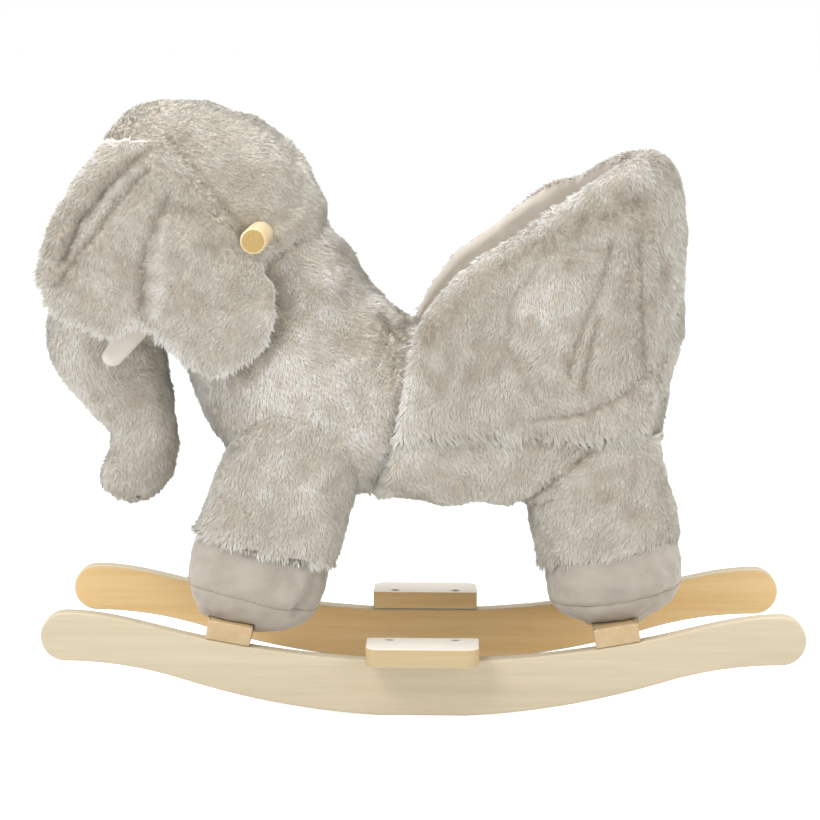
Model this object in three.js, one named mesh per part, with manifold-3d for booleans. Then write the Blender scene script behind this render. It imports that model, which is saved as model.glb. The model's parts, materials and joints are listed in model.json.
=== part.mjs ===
import * as THREE from "three";
import { mergeVertices } from "three/addons/utils/BufferGeometryUtils.js";
import Module from "manifold-3d";

// A plush rocking elephant with a bucket seat for a toddler, in millimetres.
// X runs from the trunk to the back of the seat, Y across with the elephant's left at -Y, and Z up.
// The origin is on the floor, under the middle of the rockers.

const wasm = await Module();
wasm.setup();

const seamGap = 0.3; // between pieces that touch
const cutOverrun = 4; // how far a cutter runs past what it cuts
const mergeDistance = 1e-4;

// Rockers: two boards, sawn to a double curve
const rockerLength = 720;
const rockerThickness = 18;
const rockerOuterWidth = 250; // over the outer faces of the pair
const rockerBottomRadius = 760;
const rockerBottomReach = 226; // where the bottom arc ends
const rockerRestFlat = 80; // the flat in the middle, on which the toy stands still
const rockerTopRadius = 1040;
const rockerWaistHeight = 53.5; // the top edge in the middle
const rockerEndRadius = 23.3;
const rockerEndHeight = 73.7; // centre of the round end
const rockerEdgeRound = 2;
const bottomSegments = 8;
const topSegments = 5;
const blendSegments = 7;
const endSegments = 8;

// Crossbars: they lie on the rockers' top edges and carry the legs
const barReach = 184; // from the middle to a bar's centre
const barWidth = 42;
const barThickness = 18;
const barSeatMargin = 2; // how far the flat seat on the rocker runs past the bar

// Footrests
const footrestLength = 106;
const footrestOverhang = 34; // outside the rocker's outer face
const footrestThickness = 17.5;
const footrestCornerRadius = 12;
const footrestEdgeRound = 1.5;
const footrestScrewSpacing = 62;
const cornerSegments = 5;

// Screws, bolts and inserts
const screwHeadRadius = 4.2;
const screwShankRadius = 2;
const screwHeadDepth = 3;
const screwLength = 42;
const screwSink = 0.6; // the head's depth below the wood's face
const boltHeadRadius = 9;
const boltHeadHeight = 5;
const boltShankRadius = 4;
const boltInPost = 34;
const insertWall = 2.5;
const insertLength = 14;
const roundSides = 10;

// Inner frame
const postSize = 32;
const postSpacing = 134; // between the left and right posts' centres
const boardThickness = 12;
const deckPadding = 36; // between the base board and the seat's deck
const baseBoardSetback = 72; // from the chest's front to the board's
const baseBoardRear = 207;
const baseBoardWidth = 192;
const baseBoardNoseWidth = 144; // between the front legs
const baseBoardShoulder = -20; // where the nose widens to the full board
const backBoardWidth = 120;
const backBoardTop = 470;
const wingBoardThickness = 9;
const wingBoardLength = 150;
const wingBoardCover = 32; // plush between the board's top edge and the rim
const wingBoardDrop = 4; // how far the board hangs below the base board
const neckBoardThickness = 18;
const neckBoardOverHandle = 50; // from the handle's axis to the board's top
const neckBoardTopWidth = 70;
const neckBoardFootWidth = 86;
const neckBoardLean = 26; // how far its top leans forward

// Handle
const handleRadius = 12;
const handleLength = 330;
const handleSetback = 197; // from the head's front
const handleRise = 120; // over the head's lowest point
const handleChamfer = 2.5;
const handleSides = 20;

// Chest and neck: the form that the others are cut by
const chestFront = -240;
const chestLength = 232;
const chestLift = 2; // of its underside over the belly's
const chestHeight = 280;
const chestHalfWidth = 112;
const chestShares = [
  [0.59, 1, 0.03, 0.64, 0.6],
  [0.68, 0.88, 0, 0.54, 0.72],
  [0.77, 0.79, 0.07, 0.435, 0.82],
  [0.855, 0.73, 0.11, 0.33, 0.9],
  [0.93, 0.68, 0.14, 0.21, 0.96],
  [0.97, 0.65, 0.26, 0.08, 0.99],
  [0.985, 0.64, 0.56, 0.02, 1],
  [1, 0.635, 0.855, 0, 1],
];

// Head
const headLead = 112; // how far the head reaches out before the chest
const headLength = 260;
const headOverlap = 134; // how far the head sits down over the chest
const headHeight = 247;
const headHalfWidth = 95;
const headShares = [
  [0.01, 0.51, 0.01, 0.22, 0.25],
  [0.04, 0.66, 0.04, 0.13, 0.5],
  [0.12, 0.81, 0.12, 0.06, 0.72],
  [0.22, 0.93, 0.22, 0.02, 0.88],
  [0.34, 0.99, 0.34, 0, 0.97],
  [0.44, 1, 0.44, 0.01, 1],
  [0.59, 0.97, 0.59, 0.06, 0.97],
  [0.71, 0.92, 0.71, 0.13, 0.86],
  [0.8, 0.86, 0.8, 0.2, 0.76],
  [0.88, 0.77, 0.88, 0.28, 0.6],
  [0.95, 0.635, 0.95, 0.385, 0.38],
  [0.99, 0.53, 0.99, 0.455, 0.14],
];

// Trunk
const trunkLead = 7; // before the head's front
const trunkLength = 120;
const trunkOverlap = 70; // how far it reaches up into the head
const trunkHeight = 216;
const trunkHalfWidth = 55;
const trunkShares = [
  [0.06, 1, 0.81, 1, 0.9],
  [0, 0.87, 0.89, 0.84, 1],
  [0.01, 0.745, 0.91, 0.7, 0.98],
  [0.07, 0.59, 0.94, 0.56, 0.9],
  [0.2, 0.455, 0.975, 0.42, 0.8],
  [0.34, 0.335, 0.99, 0.305, 0.7],
  [0.425, 0.25, 0.99, 0.215, 0.64],
  [0.39, 0.155, 0.965, 0.13, 0.64],
  [0.37, 0.075, 0.875, 0.06, 0.56],
  [0.465, 0.01, 0.76, 0.005, 0.34],
];

// Ears: flaps sewn on along a straight seam that runs down to the handle
const earLead = 6; // before the head's front
const earLength = 218;
const earDrop = 11; // below the head's lowest point
const earHeight = 221;
const earThickness = 15;
const earSeamInset = 4; // from the head's widest to the seam
const earFlare = 20; // how far the flap stands off the seam
const earFlareReach = 35;
const earCurl = 8; // how far the front edge turns in
const earCreaseDepth = 5;
const earCreaseWidth = 13;
const earOutlinePoints = 34;
const earSeamShares = [
  [0.52, 0.98],
  [0.88, 0.545],
];
const earCreaseShares = [
  [0.5, 0.85],
  [0.465, 0.21],
];
const earCentreShares = [0.52, 0.5];
const earRingShares = [0.34, 0.7, 0.92];
const earOutlineShares = [
  [0.275, 1],
  [0.4, 1],
  [0.52, 0.98],
  [0.63, 0.84],
  [0.715, 0.735],
  [0.81, 0.625],
  [0.88, 0.54],
  [0.955, 0.445],
  [0.995, 0.33],
  [0.99, 0.19],
  [0.92, 0.075],
  [0.83, 0.015],
  [0.73, 0.01],
  [0.63, 0.09],
  [0.55, 0.17],
  [0.465, 0.21],
  [0.365, 0.18],
  [0.25, 0.2],
  [0.14, 0.25],
  [0.04, 0.35],
  [0, 0.5],
  [0.035, 0.67],
  [0.125, 0.84],
];

// Tusks and eyes
const tuskRootRadius = 11;
const tuskTipRadius = 8.5;
const tuskLength = 72;
const tuskRootShares = [0.3815, 0.193]; // along and up the head
const tuskHalfSpacing = 64;
const tuskSlope = 0.8; // radians below level
const tuskSides = 14;
const eyeRadius = 7;
const eyeDome = 4.5;
const eyeStemRadius = 2;
const eyeStemLength = 14;
const eyeShares = [0.2, 0.567];
const eyeSeatShare = 0.83; // of the head's half width, to the back of the dome

// Legs and feet
const legHalfSpacing = 70;
const legHalfWidth = 56;
const frontLegLead = 35; // before the bar's middle
const frontLegLength = 169;
const frontLegLift = 57; // over the bar's underside
const frontLegOverDeck = 14; // from the deck's height to its top
const frontLegShares = [
  [0.805, 0.01, 0, 0.24, 0.96],
  [0.835, 0.125, 0.03, 0.335, 1],
  [0.88, 0.29, 0.08, 0.47, 0.99],
  [0.93, 0.49, 0.13, 0.64, 0.95],
  [0.975, 0.73, 0.195, 0.83, 0.88],
  [0.99, 0.93, 0.28, 1, 0.75],
];
const rearLegLead = 94;
const rearLegLength = 155;
const rearLegLift = 64;
const rearLegOverDeck = -7;
const rearLegShares = [
  [0.985, 0.18, 0.105, 0, 0.96],
  [1, 0.29, 0.085, 0.12, 1],
  [0.975, 0.47, 0.06, 0.29, 0.99],
  [0.935, 0.65, 0.03, 0.48, 0.95],
  [0.895, 0.835, 0.01, 0.73, 0.9],
  [0.85, 0.985, 0.015, 0.96, 0.8],
];
const footHalfWidth = 55;
const frontFootLead = 41;
const frontFootLength = 137;
const frontFootLift = 3;
const frontFootHeight = 92;
const frontFootShares = [
  [0.695, 0.01, 0.33, 0.04, 0.45],
  [0.82, 0.09, 0.16, 0.14, 0.75],
  [0.905, 0.26, 0.065, 0.27, 0.92],
  [0.965, 0.48, 0.015, 0.47, 1],
  [0.985, 0.685, 0, 0.74, 0.99],
  [0.97, 0.85, 0.035, 1, 0.92],
];
const rearFootLead = 69;
const rearFootLength = 131;
const rearFootLift = 10;
const rearFootHeight = 90;
const rearFootShares = [
  [0.69, 0.055, 0.305, 0.02, 0.45],
  [0.85, 0.2, 0.14, 0.13, 0.75],
  [0.94, 0.32, 0.05, 0.28, 0.92],
  [0.99, 0.52, 0.015, 0.455, 1],
  [1, 0.72, 0, 0.655, 0.99],
  [0.975, 0.98, 0.02, 0.79, 0.92],
];

// Seat: an underbody with a flat deck, a wall that bends round it in three pieces, and a cushion
const deckHeight = 262;
const underbodyRear = 236;
const bellyDepth = 80; // from the deck to the belly's lowest point
const underbodyHalfWidth = 117;
const underbodyCrown = 38; // how far the form would rise over the deck, before the deck is cut
const underbodyFrontShare = 0.97; // of the half width, at the seam with the chest
const underbodyShares = [
  [0.2, 0.02, 1],
  [0.4, 0.01, 1],
  [0.6, 0, 1],
  [0.76, 0.05, 0.99],
  [0.89, 0.15, 0.93],
  [0.96, 0.29, 0.8],
  [1, 0.45, 0.55],
];
const wallHalfWidth = 118; // to the wings' outer faces
const wingThickness = 27;
const backThickness = 50;
const backRear = 251; // the back's outer face
const backTop = 528;
const wallCornerRadius = 76; // at the middle of the wall
const wallBulge = 5;
const wallRoundSegments = 5;
const wingShares = [
  [0, 0.38],
  [0.1, 0.47],
  [0.3, 0.585],
  [0.5, 0.69],
  [0.7, 0.79],
  [0.85, 0.855],
  [1, 0.9],
];
const cornerShares = [
  [0.25, 0.95],
  [0.5, 0.985],
];
const backShares = [
  [0.5, 0.985],
  [0.75, 1],
  [1, 1],
];
const cushionHeight = 38;
const cushionSideRoom = 4; // to the wall all round
const cushionPinchShare = 0.03; // how far the sides draw in between the corners
const cushionSides = 28;
const cushionShares = [
  [0, 0.93],
  [0.22, 0.99],
  [0.48, 1],
  [0.72, 0.97],
  [0.88, 0.86],
  [0.97, 0.6],
  [1, 0.25],
];

// Places that follow from the sizes above
const underbodyBottom = deckHeight - bellyDepth;
const chestBottom = underbodyBottom + chestLift;
const headFront = chestFront - headLead;
const headBottom = chestBottom + chestHeight - headOverlap;
const trunkFront = headFront - trunkLead;
const trunkBottom = headBottom + trunkOverlap - trunkHeight;
const earFront = headFront - earLead;
const earBottom = headBottom - earDrop;
const earSeamHalfWidth = headHalfWidth - earSeamInset;
const handleX = headFront + handleSetback;
const handleHeight = headBottom + handleRise;
const neckBoardTop = handleHeight + neckBoardOverHandle;
const baseBoardFront = chestFront + baseBoardSetback;
const baseBoardBottom = deckHeight - deckPadding - boardThickness;

const formSides = 20;
const limbSides = 16;
const bodySquareness = 2.4;
const plushWall = 15; // cover and packed layer of the head and chest, round loose fibre
const hollowFromShare = 0.7; // rings narrower than this stay solid
const underbodySquareness = 3.5;
const footSquareness = 2.8;
const cushionSquareness = 3.5;

const material = (color, roughness, metalness = 0) =>
  new THREE.MeshStandardMaterial({ color, roughness, metalness });
const fur = material(0xc8c1b4, 1);
const velboa = material(0xbcb2a5, 0.9);
const lining = material(0xd9d3c8, 0.9);
const tuskCloth = material(0xf0ebe0, 0.85);
const beech = material(0xe2d6be, 0.6);
const dowelWood = material(0xdcb878, 0.55);
const plywood = material(0xcdb48a, 0.7);
const steel = material(0xb8b8b8, 0.35, 1);
const blackPlastic = material(0x17130f, 0.15);

const sides = { left: -1, right: 1 };
const elephant = new THREE.Group();

function toSolid(geometry) {
  const loose = geometry.index ? geometry.toNonIndexed() : geometry;
  loose.deleteAttribute("normal");
  loose.deleteAttribute("uv");
  const merged = mergeVertices(loose, mergeDistance);
  const vertProperties = merged.getAttribute("position").array;
  const triVerts = new Uint32Array(merged.index.array);
  const made = new wasm.Manifold(new wasm.Mesh({ numProp: 3, vertProperties, triVerts }));
  if (made.volume() >= 0) return made;
  return new wasm.Manifold(
    new wasm.Mesh({ numProp: 3, vertProperties, triVerts: triVerts.reverse() }),
  );
}

function add(name, solid, look) {
  const mesh = solid.getMesh();
  const geometry = new THREE.BufferGeometry();
  geometry.setAttribute("position", new THREE.BufferAttribute(mesh.vertProperties, 3));
  geometry.setIndex(new THREE.BufferAttribute(mesh.triVerts, 1));
  geometry.computeVertexNormals();
  const piece = new THREE.Mesh(geometry, look);
  piece.name = name;
  elephant.add(piece);
}

// What is left of a solid after its cutters, without any loose sliver that the cut leaves.
function cut(solid, ...cutters) {
  const left = cutters.reduce((rest, cutter) => rest.subtract(cutter), solid);
  return left.decompose().sort((a, b) => b.volume() - a.volume())[0];
}

// A closed surface through rings of points, with a fan of triangles over each end.
function skin(rings) {
  const count = rings[0].length;
  const middle = (ring) =>
    ring.reduce((sum, p) => sum.add(p), new THREE.Vector3()).divideScalar(count);
  const points = rings.flat().concat(middle(rings[0]), middle(rings.at(-1)));
  const firstMiddle = points.length - 2;
  const lastMiddle = points.length - 1;
  const lastRing = (rings.length - 1) * count;
  const index = [];
  for (let k = 0; k < count; k++) {
    const next = (k + 1) % count;
    index.push(firstMiddle, next, k, lastMiddle, lastRing + k, lastRing + next);
    for (let r = 0; r < lastRing; r += count) {
      index.push(r + k, r + next, r + count + next, r + k, r + count + next, r + count + k);
    }
  }
  const geometry = new THREE.BufferGeometry().setFromPoints(points);
  geometry.setIndex(index);
  return toSolid(geometry);
}

// A point of a rounded square of half size 1: squareness 2 is a circle.
function roundedSquare(turn, squareness) {
  const power = (value) => Math.sign(value) * Math.abs(value) ** (2 / squareness);
  return [power(Math.cos(turn)), power(Math.sin(turn))];
}

// A stuffed form: rings that hang between two points of the X-Z plane and swell along Y.
// grow makes it fatter all over, for cutting its neighbours clear of it.
function stuffed(place, shares, count, squareness, grow = 0) {
  const ends = shares.map(([x0, z0, x1, z1, wide]) => ({
    high: new THREE.Vector3(place.x + x0 * place.length, place.y, place.z + z0 * place.height),
    low: new THREE.Vector3(place.x + x1 * place.length, place.y, place.z + z1 * place.height),
    half: wide * place.halfWidth + grow,
  }));
  const middles = ends.map(({ high, low }) => high.clone().lerp(low, 1 / 2));
  const rings = ends.map(({ high, low, half }, i) => {
    const reach = high.clone().sub(middles[i]);
    reach.setLength(reach.length() + grow);
    const centre = middles[i].clone();
    const inner = i === 0 ? middles[1] : i === ends.length - 1 ? middles[i - 1] : null;
    if (inner) centre.add(centre.clone().sub(inner).setLength(grow));
    return Array.from({ length: count }, (_, k) => {
      const [up, out] = roundedSquare((2 * Math.PI * k) / count, squareness);
      return centre.clone().addScaledVector(reach, up).setY(place.y + half * out);
    });
  });
  return skin(rings);
}

// The loose core of a stuffed form, which is left open inside its wall.
function core(place, shares, count, squareness) {
  const wideOnes = shares.filter((row) => row.at(-1) >= hollowFromShare);
  return stuffed(place, wideOnes, count, squareness, -plushWall);
}

// A turned piece about the Z axis, from a profile of [radius, height] points.
function turned(profile, count) {
  const points = profile.map(([radius, height]) => new THREE.Vector2(radius, height));
  return new THREE.LatheGeometry(points, count).rotateX(Math.PI / 2);
}

// A block that grow makes larger on every side.
function block(length, width, height, grow = 0) {
  return new THREE.BoxGeometry(length + 2 * grow, width + 2 * grow, height + 2 * grow);
}

// A screw with a countersunk head that looks up, its top at the origin.
function screw(grow = 0) {
  const top = grow ? screwSink + grow : 0;
  return turned(
    [
      [0, -screwLength - grow],
      [screwShankRadius + grow, -screwLength + screwHeadDepth - grow],
      [screwShankRadius + grow, -screwHeadDepth],
      [screwHeadRadius + grow, 0],
      ...(grow ? [[screwHeadRadius + grow, top]] : []),
      [0, top],
    ],
    roundSides,
  );
}

// Rockers and what lies on them
const rockerTopZ = (x) => {
  const flat = footrestLength / 2 + barSeatMargin;
  const rise = (reach) => rockerTopRadius - Math.sqrt(rockerTopRadius ** 2 - reach ** 2);
  return rockerWaistHeight + Math.max(0, rise(x) - rise(flat));
};
const barSeatInner = barReach - barWidth / 2 - barSeatMargin;
const barSeatOuter = barReach + barWidth / 2 + barSeatMargin;
const barTilt = Math.atan2(
  rockerTopZ(barSeatOuter) - rockerTopZ(barSeatInner),
  barSeatOuter - barSeatInner,
);
const rockerMiddleY = rockerOuterWidth / 2 - rockerThickness / 2;

function rockerOutline() {
  const at = (x, z) => new THREE.Vector2(x, z);
  const flatHalf = rockerRestFlat / 2;
  const arcCentre = Math.sqrt(rockerBottomRadius ** 2 - flatHalf ** 2);
  const first = Math.asin(flatHalf / rockerBottomRadius);
  const last = Math.asin(rockerBottomReach / rockerBottomRadius);
  const bottom = Array.from({ length: bottomSegments + 1 }, (_, i) => {
    const turn = first + ((last - first) * i) / bottomSegments;
    return at(rockerBottomRadius * Math.sin(turn), arcCentre - rockerBottomRadius * Math.cos(turn));
  });
  const arcEnd = bottom.at(-1);
  const endX = rockerLength / 2 - rockerEndRadius;
  const pull = (endX - arcEnd.x) / 3;
  const under = new THREE.CubicBezierCurve(
    arcEnd,
    at(arcEnd.x + pull, arcEnd.y + pull * Math.tan(last)),
    at(endX - pull, rockerEndHeight - rockerEndRadius),
    at(endX, rockerEndHeight - rockerEndRadius),
  ).getPoints(blendSegments);
  const round = Array.from({ length: endSegments - 1 }, (_, i) => {
    const turn = -Math.PI / 2 + (Math.PI * (i + 1)) / endSegments;
    return at(endX + rockerEndRadius * Math.cos(turn), rockerEndHeight + rockerEndRadius * Math.sin(turn));
  });
  const seatEnd = at(barSeatOuter, rockerTopZ(barSeatOuter));
  const topPull = (endX - seatEnd.x) / 3;
  const over = new THREE.CubicBezierCurve(
    at(endX, rockerEndHeight + rockerEndRadius),
    at(endX - topPull, rockerEndHeight + rockerEndRadius),
    at(seatEnd.x + topPull, seatEnd.y + (topPull * barSeatOuter) / rockerTopRadius),
    seatEnd,
  ).getPoints(blendSegments);
  const restHalf = footrestLength / 2 + barSeatMargin;
  const top = Array.from({ length: topSegments + 1 }, (_, i) => {
    const x = barSeatInner + ((restHalf - barSeatInner) * i) / topSegments;
    return at(x, rockerTopZ(x));
  });
  const half = [...bottom, ...under.slice(1), ...round, ...over, ...top];
  return [...half, ...half.map((p) => at(-p.x, p.y)).reverse()];
}

const footrestScrewX = [-footrestScrewSpacing / 2, footrestScrewSpacing / 2];
const footrestTop = rockerWaistHeight + seamGap + footrestThickness;
const bars = { front: -1, rear: 1 };

const barSeatHeight = (rockerTopZ(barSeatInner) + rockerTopZ(barSeatOuter)) / 2;

// Moves a geometry from a bar's own frame, with its origin at the middle of the bar, to its place.
function onBar(geometry, end, y = 0) {
  const lift = seamGap + barThickness / 2;
  geometry.translate(0, y, 0).rotateY(-bars[end] * barTilt);
  const lean = -bars[end] * lift * Math.sin(barTilt);
  return geometry.translate(
    bars[end] * barReach + lean,
    0,
    barSeatHeight + lift * Math.cos(barTilt),
  );
}

const footrestScrews = {};
const barScrews = {};
for (const [side, sign] of Object.entries(sides)) {
  for (const [i, x] of footrestScrewX.entries()) {
    footrestScrews[`footrest_screw_${side}_${i + 1}`] = {
      side,
      make: (grow) =>
        toSolid(screw(grow).translate(x, sign * rockerMiddleY, footrestTop - screwSink)),
    };
  }
  for (const end of Object.keys(bars)) {
    barScrews[`crossbar_screw_${end}_${side}`] = {
      side,
      end,
      make: (grow) =>
        toSolid(
          onBar(screw(grow).translate(0, 0, barThickness / 2 - screwSink), end, sign * rockerMiddleY),
        ),
    };
  }
}
const holesFor = (screws, keep) =>
  Object.values(screws)
    .filter(keep)
    .map((one) => one.make(seamGap));

for (const [side, sign] of Object.entries(sides)) {
  const rocker = new THREE.ExtrudeGeometry(new THREE.Shape(rockerOutline()), {
    depth: rockerThickness - 2 * rockerEdgeRound,
    bevelThickness: rockerEdgeRound,
    bevelSize: rockerEdgeRound,
    bevelOffset: -rockerEdgeRound,
    bevelSegments: 1,
  })
    .rotateX(Math.PI / 2)
    .translate(0, sign * rockerMiddleY + rockerThickness / 2 - rockerEdgeRound, 0);
  const mine = (one) => one.side === side;
  add(
    `rocker_${side}`,
    cut(toSolid(rocker), ...holesFor(footrestScrews, mine), ...holesFor(barScrews, mine)),
    beech,
  );

  const inner = rockerOuterWidth / 2 - rockerThickness;
  const outer = rockerOuterWidth / 2 + footrestOverhang;
  const halfLength = footrestLength / 2;
  const plan = new THREE.Shape()
    .moveTo(-halfLength, sign * inner)
    .lineTo(halfLength, sign * inner)
    .lineTo(halfLength, sign * (outer - footrestCornerRadius))
    .quadraticCurveTo(halfLength, sign * outer, halfLength - footrestCornerRadius, sign * outer)
    .lineTo(footrestCornerRadius - halfLength, sign * outer)
    .quadraticCurveTo(-halfLength, sign * outer, -halfLength, sign * (outer - footrestCornerRadius));
  const footrest = new THREE.ExtrudeGeometry(plan, {
    depth: footrestThickness - 2 * footrestEdgeRound,
    bevelThickness: footrestEdgeRound,
    bevelSize: footrestEdgeRound,
    bevelOffset: -footrestEdgeRound,
    bevelSegments: 1,
    curveSegments: cornerSegments,
  }).translate(0, 0, rockerWaistHeight + seamGap + footrestEdgeRound);
  add(`footrest_${side}`, cut(toSolid(footrest), ...holesFor(footrestScrews, mine)), beech);
}
for (const [name, one] of Object.entries(footrestScrews)) add(name, one.make(), steel);
for (const [name, one] of Object.entries(barScrews)) add(name, one.make(), steel);

// Bolts come up through a bar into a threaded insert in the foot of a post.
const boltFoot = -barThickness / 2 - seamGap;
const postFoot = barThickness / 2 + seamGap;
const boltTop = postFoot + boltInPost;

function bolt(grow = 0) {
  return turned(
    [
      [0, boltFoot - boltHeadHeight],
      [boltHeadRadius, boltFoot - boltHeadHeight],
      [boltHeadRadius, boltFoot],
      [boltShankRadius + grow, boltFoot],
      [boltShankRadius + grow, boltTop + grow],
      [0, boltTop + grow],
    ],
    roundSides,
  );
}

function insertRing() {
  const bore = boltShankRadius + seamGap;
  const foot = postFoot + seamGap;
  const profile = [
    [bore, foot],
    [bore + insertWall, foot],
    [bore + insertWall, foot + insertLength],
    [bore, foot + insertLength],
    [bore, foot],
  ];
  return turned(profile, roundSides);
}

function insertHole() {
  const radius = boltShankRadius + 2 * seamGap + insertWall;
  const top = postFoot + insertLength + 2 * seamGap;
  const profile = [
    [0, postFoot - cutOverrun],
    [radius, postFoot - cutOverrun],
    [radius, top],
    [0, top],
  ];
  return turned(profile, roundSides);
}

const postFarEnd = baseBoardBottom; // longer than a post, which the base board then cuts off
const baseBoardPart = (front, rear, width, grow) =>
  toSolid(
    block(rear - front, width, boardThickness, grow).translate(
      (rear + front) / 2,
      0,
      baseBoardBottom + boardThickness / 2,
    ),
  );
const baseBoard = (grow = 0) =>
  baseBoardPart(baseBoardShoulder, baseBoardRear, baseBoardWidth, grow).add(
    baseBoardPart(baseBoardFront, baseBoardRear, baseBoardNoseWidth, grow),
  );
const overBase = toSolid(
  block(rockerLength, rockerLength, rockerLength).translate(
    0,
    0,
    baseBoardBottom - seamGap + rockerLength / 2,
  ),
);
const post = (end, sign, grow = 0) =>
  toSolid(
    onBar(
      block(postSize, postSize, postFarEnd, grow).translate(0, 0, postFoot + postFarEnd / 2),
      end,
      (sign * postSpacing) / 2,
    ),
  ).subtract(grow ? overBase.translate(0, 0, 2 * grow) : overBase);
const bar = (end, grow = 0) =>
  toSolid(onBar(block(barWidth, rockerOuterWidth, barThickness, grow), end));

const posts = {};
const bolts = {};
for (const end of Object.keys(bars)) {
  for (const [side, sign] of Object.entries(sides)) {
    const place = (geometry) => toSolid(onBar(geometry, end, (sign * postSpacing) / 2));
    posts[`${end}_${side}`] = (grow) => post(end, sign, grow);
    bolts[`${end}_${side}`] = { end, hole: place(bolt(seamGap)) };
    add(`leg_bolt_${end}_${side}`, place(bolt()), steel);
    add(`leg_insert_${end}_${side}`, place(insertRing()), steel);
    add(
      `leg_post_${end}_${side}`,
      cut(post(end, sign), place(insertHole()), bolts[`${end}_${side}`].hole),
      plywood,
    );
  }
  const boltHoles = Object.values(bolts).filter((one) => one.end === end);
  add(
    `crossbar_${end}`,
    cut(
      bar(end),
      ...boltHoles.map((one) => one.hole),
      ...holesFor(barScrews, (one) => one.end === end),
    ),
    beech,
  );
}

// Boards of the inner frame
const baseBoardTop = baseBoardBottom + boardThickness;
const rimHeight = backTop - deckHeight;
const rimZ = (share) => deckHeight + share * rimHeight;

function backBoard(grow = 0) {
  const height = backBoardTop - baseBoardBottom;
  return toSolid(
    block(boardThickness, backBoardWidth, height, grow).translate(
      baseBoardRear + seamGap + boardThickness / 2,
      0,
      baseBoardBottom + height / 2,
    ),
  );
}

// A board cut from an outline of the X-Z plane, from y0 towards +Y.
function sawn(outline, thickness, y0, grow = 0) {
  const middle = outline
    .reduce((sum, p) => sum.add(p), new THREE.Vector2())
    .divideScalar(outline.length);
  const grown = outline.map((p) => {
    const away = p.clone().sub(middle);
    return new THREE.Vector2(p.x + Math.sign(away.x) * grow, p.y + Math.sign(away.y) * grow);
  });
  const depth = thickness + 2 * grow;
  const plate = new THREE.ExtrudeGeometry(new THREE.Shape(grown), { depth, bevelEnabled: false });
  return toSolid(plate.rotateX(Math.PI / 2).translate(0, y0 + thickness + grow, 0));
}

function wingBoard(sign, grow = 0) {
  const foot = baseBoardBottom - wingBoardDrop;
  const outline = [
    new THREE.Vector2(0, foot),
    new THREE.Vector2(wingBoardLength, foot),
    new THREE.Vector2(wingBoardLength, rimZ(wingShares.at(-1)[1]) - wingBoardCover),
    new THREE.Vector2(0, rimZ(wingShares[1][1]) - wingBoardCover),
  ];
  const inner = baseBoardWidth / 2 + seamGap;
  const y0 = sign > 0 ? inner : -inner - wingBoardThickness;
  return sawn(outline, wingBoardThickness, y0, grow);
}

function neckBoard(grow = 0) {
  const footX = baseBoardFront;
  const topX = footX - neckBoardLean;
  const outline = [
    new THREE.Vector2(footX, baseBoardTop + seamGap),
    new THREE.Vector2(footX + neckBoardFootWidth, baseBoardTop + seamGap),
    new THREE.Vector2(topX + neckBoardTopWidth, neckBoardTop),
    new THREE.Vector2(topX, neckBoardTop),
  ];
  return sawn(outline, neckBoardThickness, -neckBoardThickness / 2, grow);
}

function handle(grow = 0) {
  const radius = handleRadius + grow;
  const half = handleLength / 2 + grow;
  const profile = [
    [0, -half],
    [radius - handleChamfer, -half],
    [radius, handleChamfer - half],
    [radius, half - handleChamfer],
    [radius - handleChamfer, half],
    [0, half],
  ];
  return toSolid(turned(profile, handleSides).rotateX(Math.PI / 2).translate(handleX, 0, handleHeight));
}

const handleHole = handle(seamGap);
add("handle_dowel", handle(), dowelWood);
add("base_board", baseBoard(), plywood);
add("back_board", backBoard(), plywood);
add("neck_board", cut(neckBoard(), handleHole), plywood);
for (const [side, sign] of Object.entries(sides)) {
  add(`wing_board_${side}`, wingBoard(sign), plywood);
}
const frameRoom = [
  baseBoard(seamGap),
  backBoard(seamGap),
  neckBoard(seamGap),
  handleHole,
  wingBoard(sides.left, seamGap),
  wingBoard(sides.right, seamGap),
  ...Object.values(posts).map((make) => make(seamGap)),
];

// Chest, head, trunk, tusks and eyes
const chestPlace = {
  x: chestFront,
  y: 0,
  z: chestBottom,
  length: chestLength,
  height: chestHeight,
  halfWidth: chestHalfWidth,
};
const headPlace = {
  x: headFront,
  y: 0,
  z: headBottom,
  length: headLength,
  height: headHeight,
  halfWidth: headHalfWidth,
};
const trunkPlace = {
  x: trunkFront,
  y: 0,
  z: trunkBottom,
  length: trunkLength,
  height: trunkHeight,
  halfWidth: trunkHalfWidth,
};
const chest = (grow) => stuffed(chestPlace, chestShares, formSides, bodySquareness, grow);
const head = (grow) => stuffed(headPlace, headShares, formSides, bodySquareness, grow);
const trunk = (grow) => stuffed(trunkPlace, trunkShares, limbSides, bodySquareness, grow);
const chestRoom = chest(seamGap);
const headRoom = head(seamGap);
const chestCore = core(chestPlace, chestShares, formSides, bodySquareness);
const headCore = core(headPlace, headShares, formSides, bodySquareness);

function eye(sign, grow = 0) {
  const profile = [
    [0, -eyeStemLength - grow],
    [eyeStemRadius + grow, -eyeStemLength - grow],
    [eyeStemRadius + grow, -grow],
    [eyeRadius + grow, -grow],
    [eyeRadius * Math.cos(Math.PI / 6) + grow, eyeDome / 2],
    [eyeRadius / 2, eyeDome + grow],
    [0, eyeDome + grow],
  ];
  return toSolid(
    turned(profile, roundSides)
      .rotateX((-sign * Math.PI) / 2)
      .translate(
        headFront + eyeShares[0] * headLength,
        sign * eyeSeatShare * headHalfWidth,
        headBottom + eyeShares[1] * headHeight,
      ),
  );
}

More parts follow.
